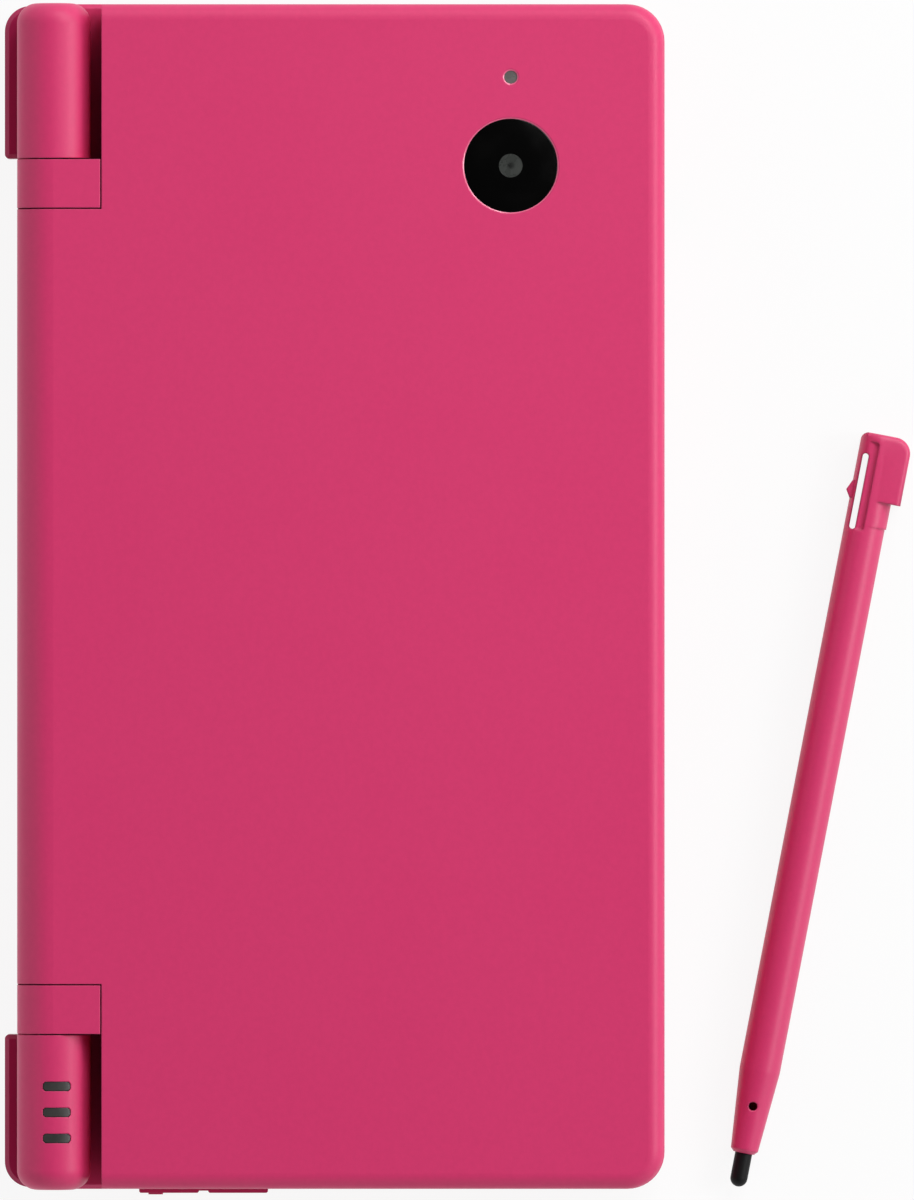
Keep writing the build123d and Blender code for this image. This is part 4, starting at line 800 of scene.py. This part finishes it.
class CONSOLE_OT_studio(ConsoleOperator):
    """Makes the pale floor, the soft lamps, the room's light and the camera"""

    bl_idname = "console.studio"
    bl_label = "Studio"

    def execute(self, context):
        self.make_floor()
        self.make_lights(context.scene.console_studio)
        self.make_camera(context.scene.console_studio)
        context.scene.view_settings.view_transform = "Standard"
        return {"FINISHED"}

    def make_floor(self):
        part = bmesh.new()
        bmesh.ops.create_grid(part, x_segments=1, y_segments=1, size=3.0)
        bmesh.ops.translate(part, verts=part.verts, vec=(0, 0, -0.02 * MM))
        mesh = bpy.data.meshes.new("floor")
        part.to_mesh(mesh)
        part.free()
        floor = bpy.data.objects.new("floor", mesh)
        bpy.context.scene.collection.objects.link(floor)
        material, tree, shader, place = new_finish("pale_floor")
        speckle = noise(tree, place, 60.0)
        tree.links.new(mix(tree, speckle, (0.78, 0.78, 0.78), (0.82, 0.82, 0.82)),
                       shader.inputs["Base Color"])
        shader.inputs["Roughness"].default_value = 0.9
        shader.inputs["Specular IOR Level"].default_value = 0.2
        glow = tree.nodes.new("ShaderNodeEmission")
        blend = tree.nodes.new("ShaderNodeMixShader")
        tree.links.new(math_node(tree, "MULTIPLY", seen_rays(tree), 0.9), blend.inputs[0])
        tree.links.new(shader.outputs["BSDF"], blend.inputs[1])
        tree.links.new(glow.outputs["Emission"], blend.inputs[2])
        output = next(n for n in tree.nodes if n.type == "OUTPUT_MATERIAL")
        tree.links.new(blend.outputs["Shader"], output.inputs["Surface"])
        mesh.materials.append(material)

    def make_lights(self, studio):
        target = (0, 0, 0.01)
        area_lamp("side_panel", (0.05, -0.76, 0.5), target, 0.26, studio.side)
        area_lamp("end_panel", (0.74, -0.25, 0.5), target, 0.26, studio.end)
        area_lamp("corner_panel", (0.5, -0.56, 0.56), target, 0.26, studio.corner)
        area_lamp("sheen_panel", (0.16, -0.12, 0.35), target, 0.12, studio.sheen)
        world = bpy.data.worlds.new("room")
        world.use_nodes = True
        tree = world.node_tree
        tree.nodes.clear()
        room = tree.nodes.new("ShaderNodeBackground")
        direction = tree.nodes.new("ShaderNodeSeparateXYZ")
        tree.links.new(tree.nodes.new("ShaderNodeTexCoord").outputs["Generated"],
                       direction.inputs["Vector"])
        dark_ceiling = map_range(tree, direction.outputs["Z"], 0.5, 0.93, studio.world, 0.01)
        tree.links.new(dark_ceiling, room.inputs["Strength"])
        backdrop = tree.nodes.new("ShaderNodeBackground")
        blend = tree.nodes.new("ShaderNodeMixShader")
        output = tree.nodes.new("ShaderNodeOutputWorld")
        path = tree.nodes.new("ShaderNodeLightPath").outputs
        tree.links.new(path["Is Camera Ray"], blend.inputs[0])
        tree.links.new(room.outputs[0], blend.inputs[1])
        tree.links.new(backdrop.outputs[0], blend.inputs[2])
        tree.links.new(blend.outputs[0], output.inputs["Surface"])
        bpy.context.scene.world = world

    def make_camera(self, studio):
        """Looks straight down, with the console's right side at the top of the picture."""
        data = bpy.data.cameras.new("camera")
        data.sensor_fit = "VERTICAL"
        data.lens = data.sensor_height * (studio.distance - studio.focus_z) / studio.frame_height
        data.clip_end = 20.0
        camera = bpy.data.objects.new("camera", data)
        camera.location = (studio.centre_x, studio.centre_y, studio.distance)
        camera.rotation_euler = (0, 0, -math.pi / 2)
        bpy.context.scene.collection.objects.link(camera)
        bpy.context.scene.camera = camera


OPERATORS = (
    CONSOLE_OT_lid,
    CONSOLE_OT_base,
    CONSOLE_OT_camera,
    CONSOLE_OT_status_lights,
    CONSOLE_OT_controls,
    CONSOLE_OT_screens,
    CONSOLE_OT_stylus,
    CONSOLE_OT_inner_parts,
    CONSOLE_OT_studio,
)


class CONSOLE_PT_panel(bpy.types.Panel):
    """Lists the pieces and their settings"""

    bl_idname = "CONSOLE_PT_panel"
    bl_label = "Console"
    bl_space_type = "VIEW_3D"
    bl_region_type = "UI"
    bl_category = "Console"

    def draw(self, context):
        for operator in OPERATORS:
            self.layout.operator(operator.bl_idname)
        for name in SETTINGS:
            group = getattr(context.scene, name)
            column = self.layout.column(heading=name)
            for setting in group.bl_rna.properties:
                if not setting.is_readonly and setting.identifier != "name":
                    column.prop(group, setting.identifier)


SETTINGS = {
    "console_edges": ConsoleEdges,
    "console_camera": ConsoleCamera,
    "console_stylus": ConsoleStylus,
    "console_colours": ConsoleColours,
    "console_studio": ConsoleStudio,
}


def register():
    for group in SETTINGS.values():
        bpy.utils.register_class(group)
    for operator in OPERATORS:
        bpy.utils.register_class(operator)
    bpy.utils.register_class(CONSOLE_PT_panel)
    for name, group in SETTINGS.items():
        setattr(bpy.types.Scene, name, PointerProperty(type=group))


def unregister():
    for name in SETTINGS:
        delattr(bpy.types.Scene, name)
    bpy.utils.unregister_class(CONSOLE_PT_panel)
    for operator in reversed(OPERATORS):
        bpy.utils.unregister_class(operator)
    for group in reversed(SETTINGS.values()):
        bpy.utils.unregister_class(group)


def main():
    register()
    for operator in OPERATORS:
        area, name = operator.bl_idname.split(".")
        getattr(getattr(bpy.ops, area), name)()


if __name__ == "__main__":
    main()
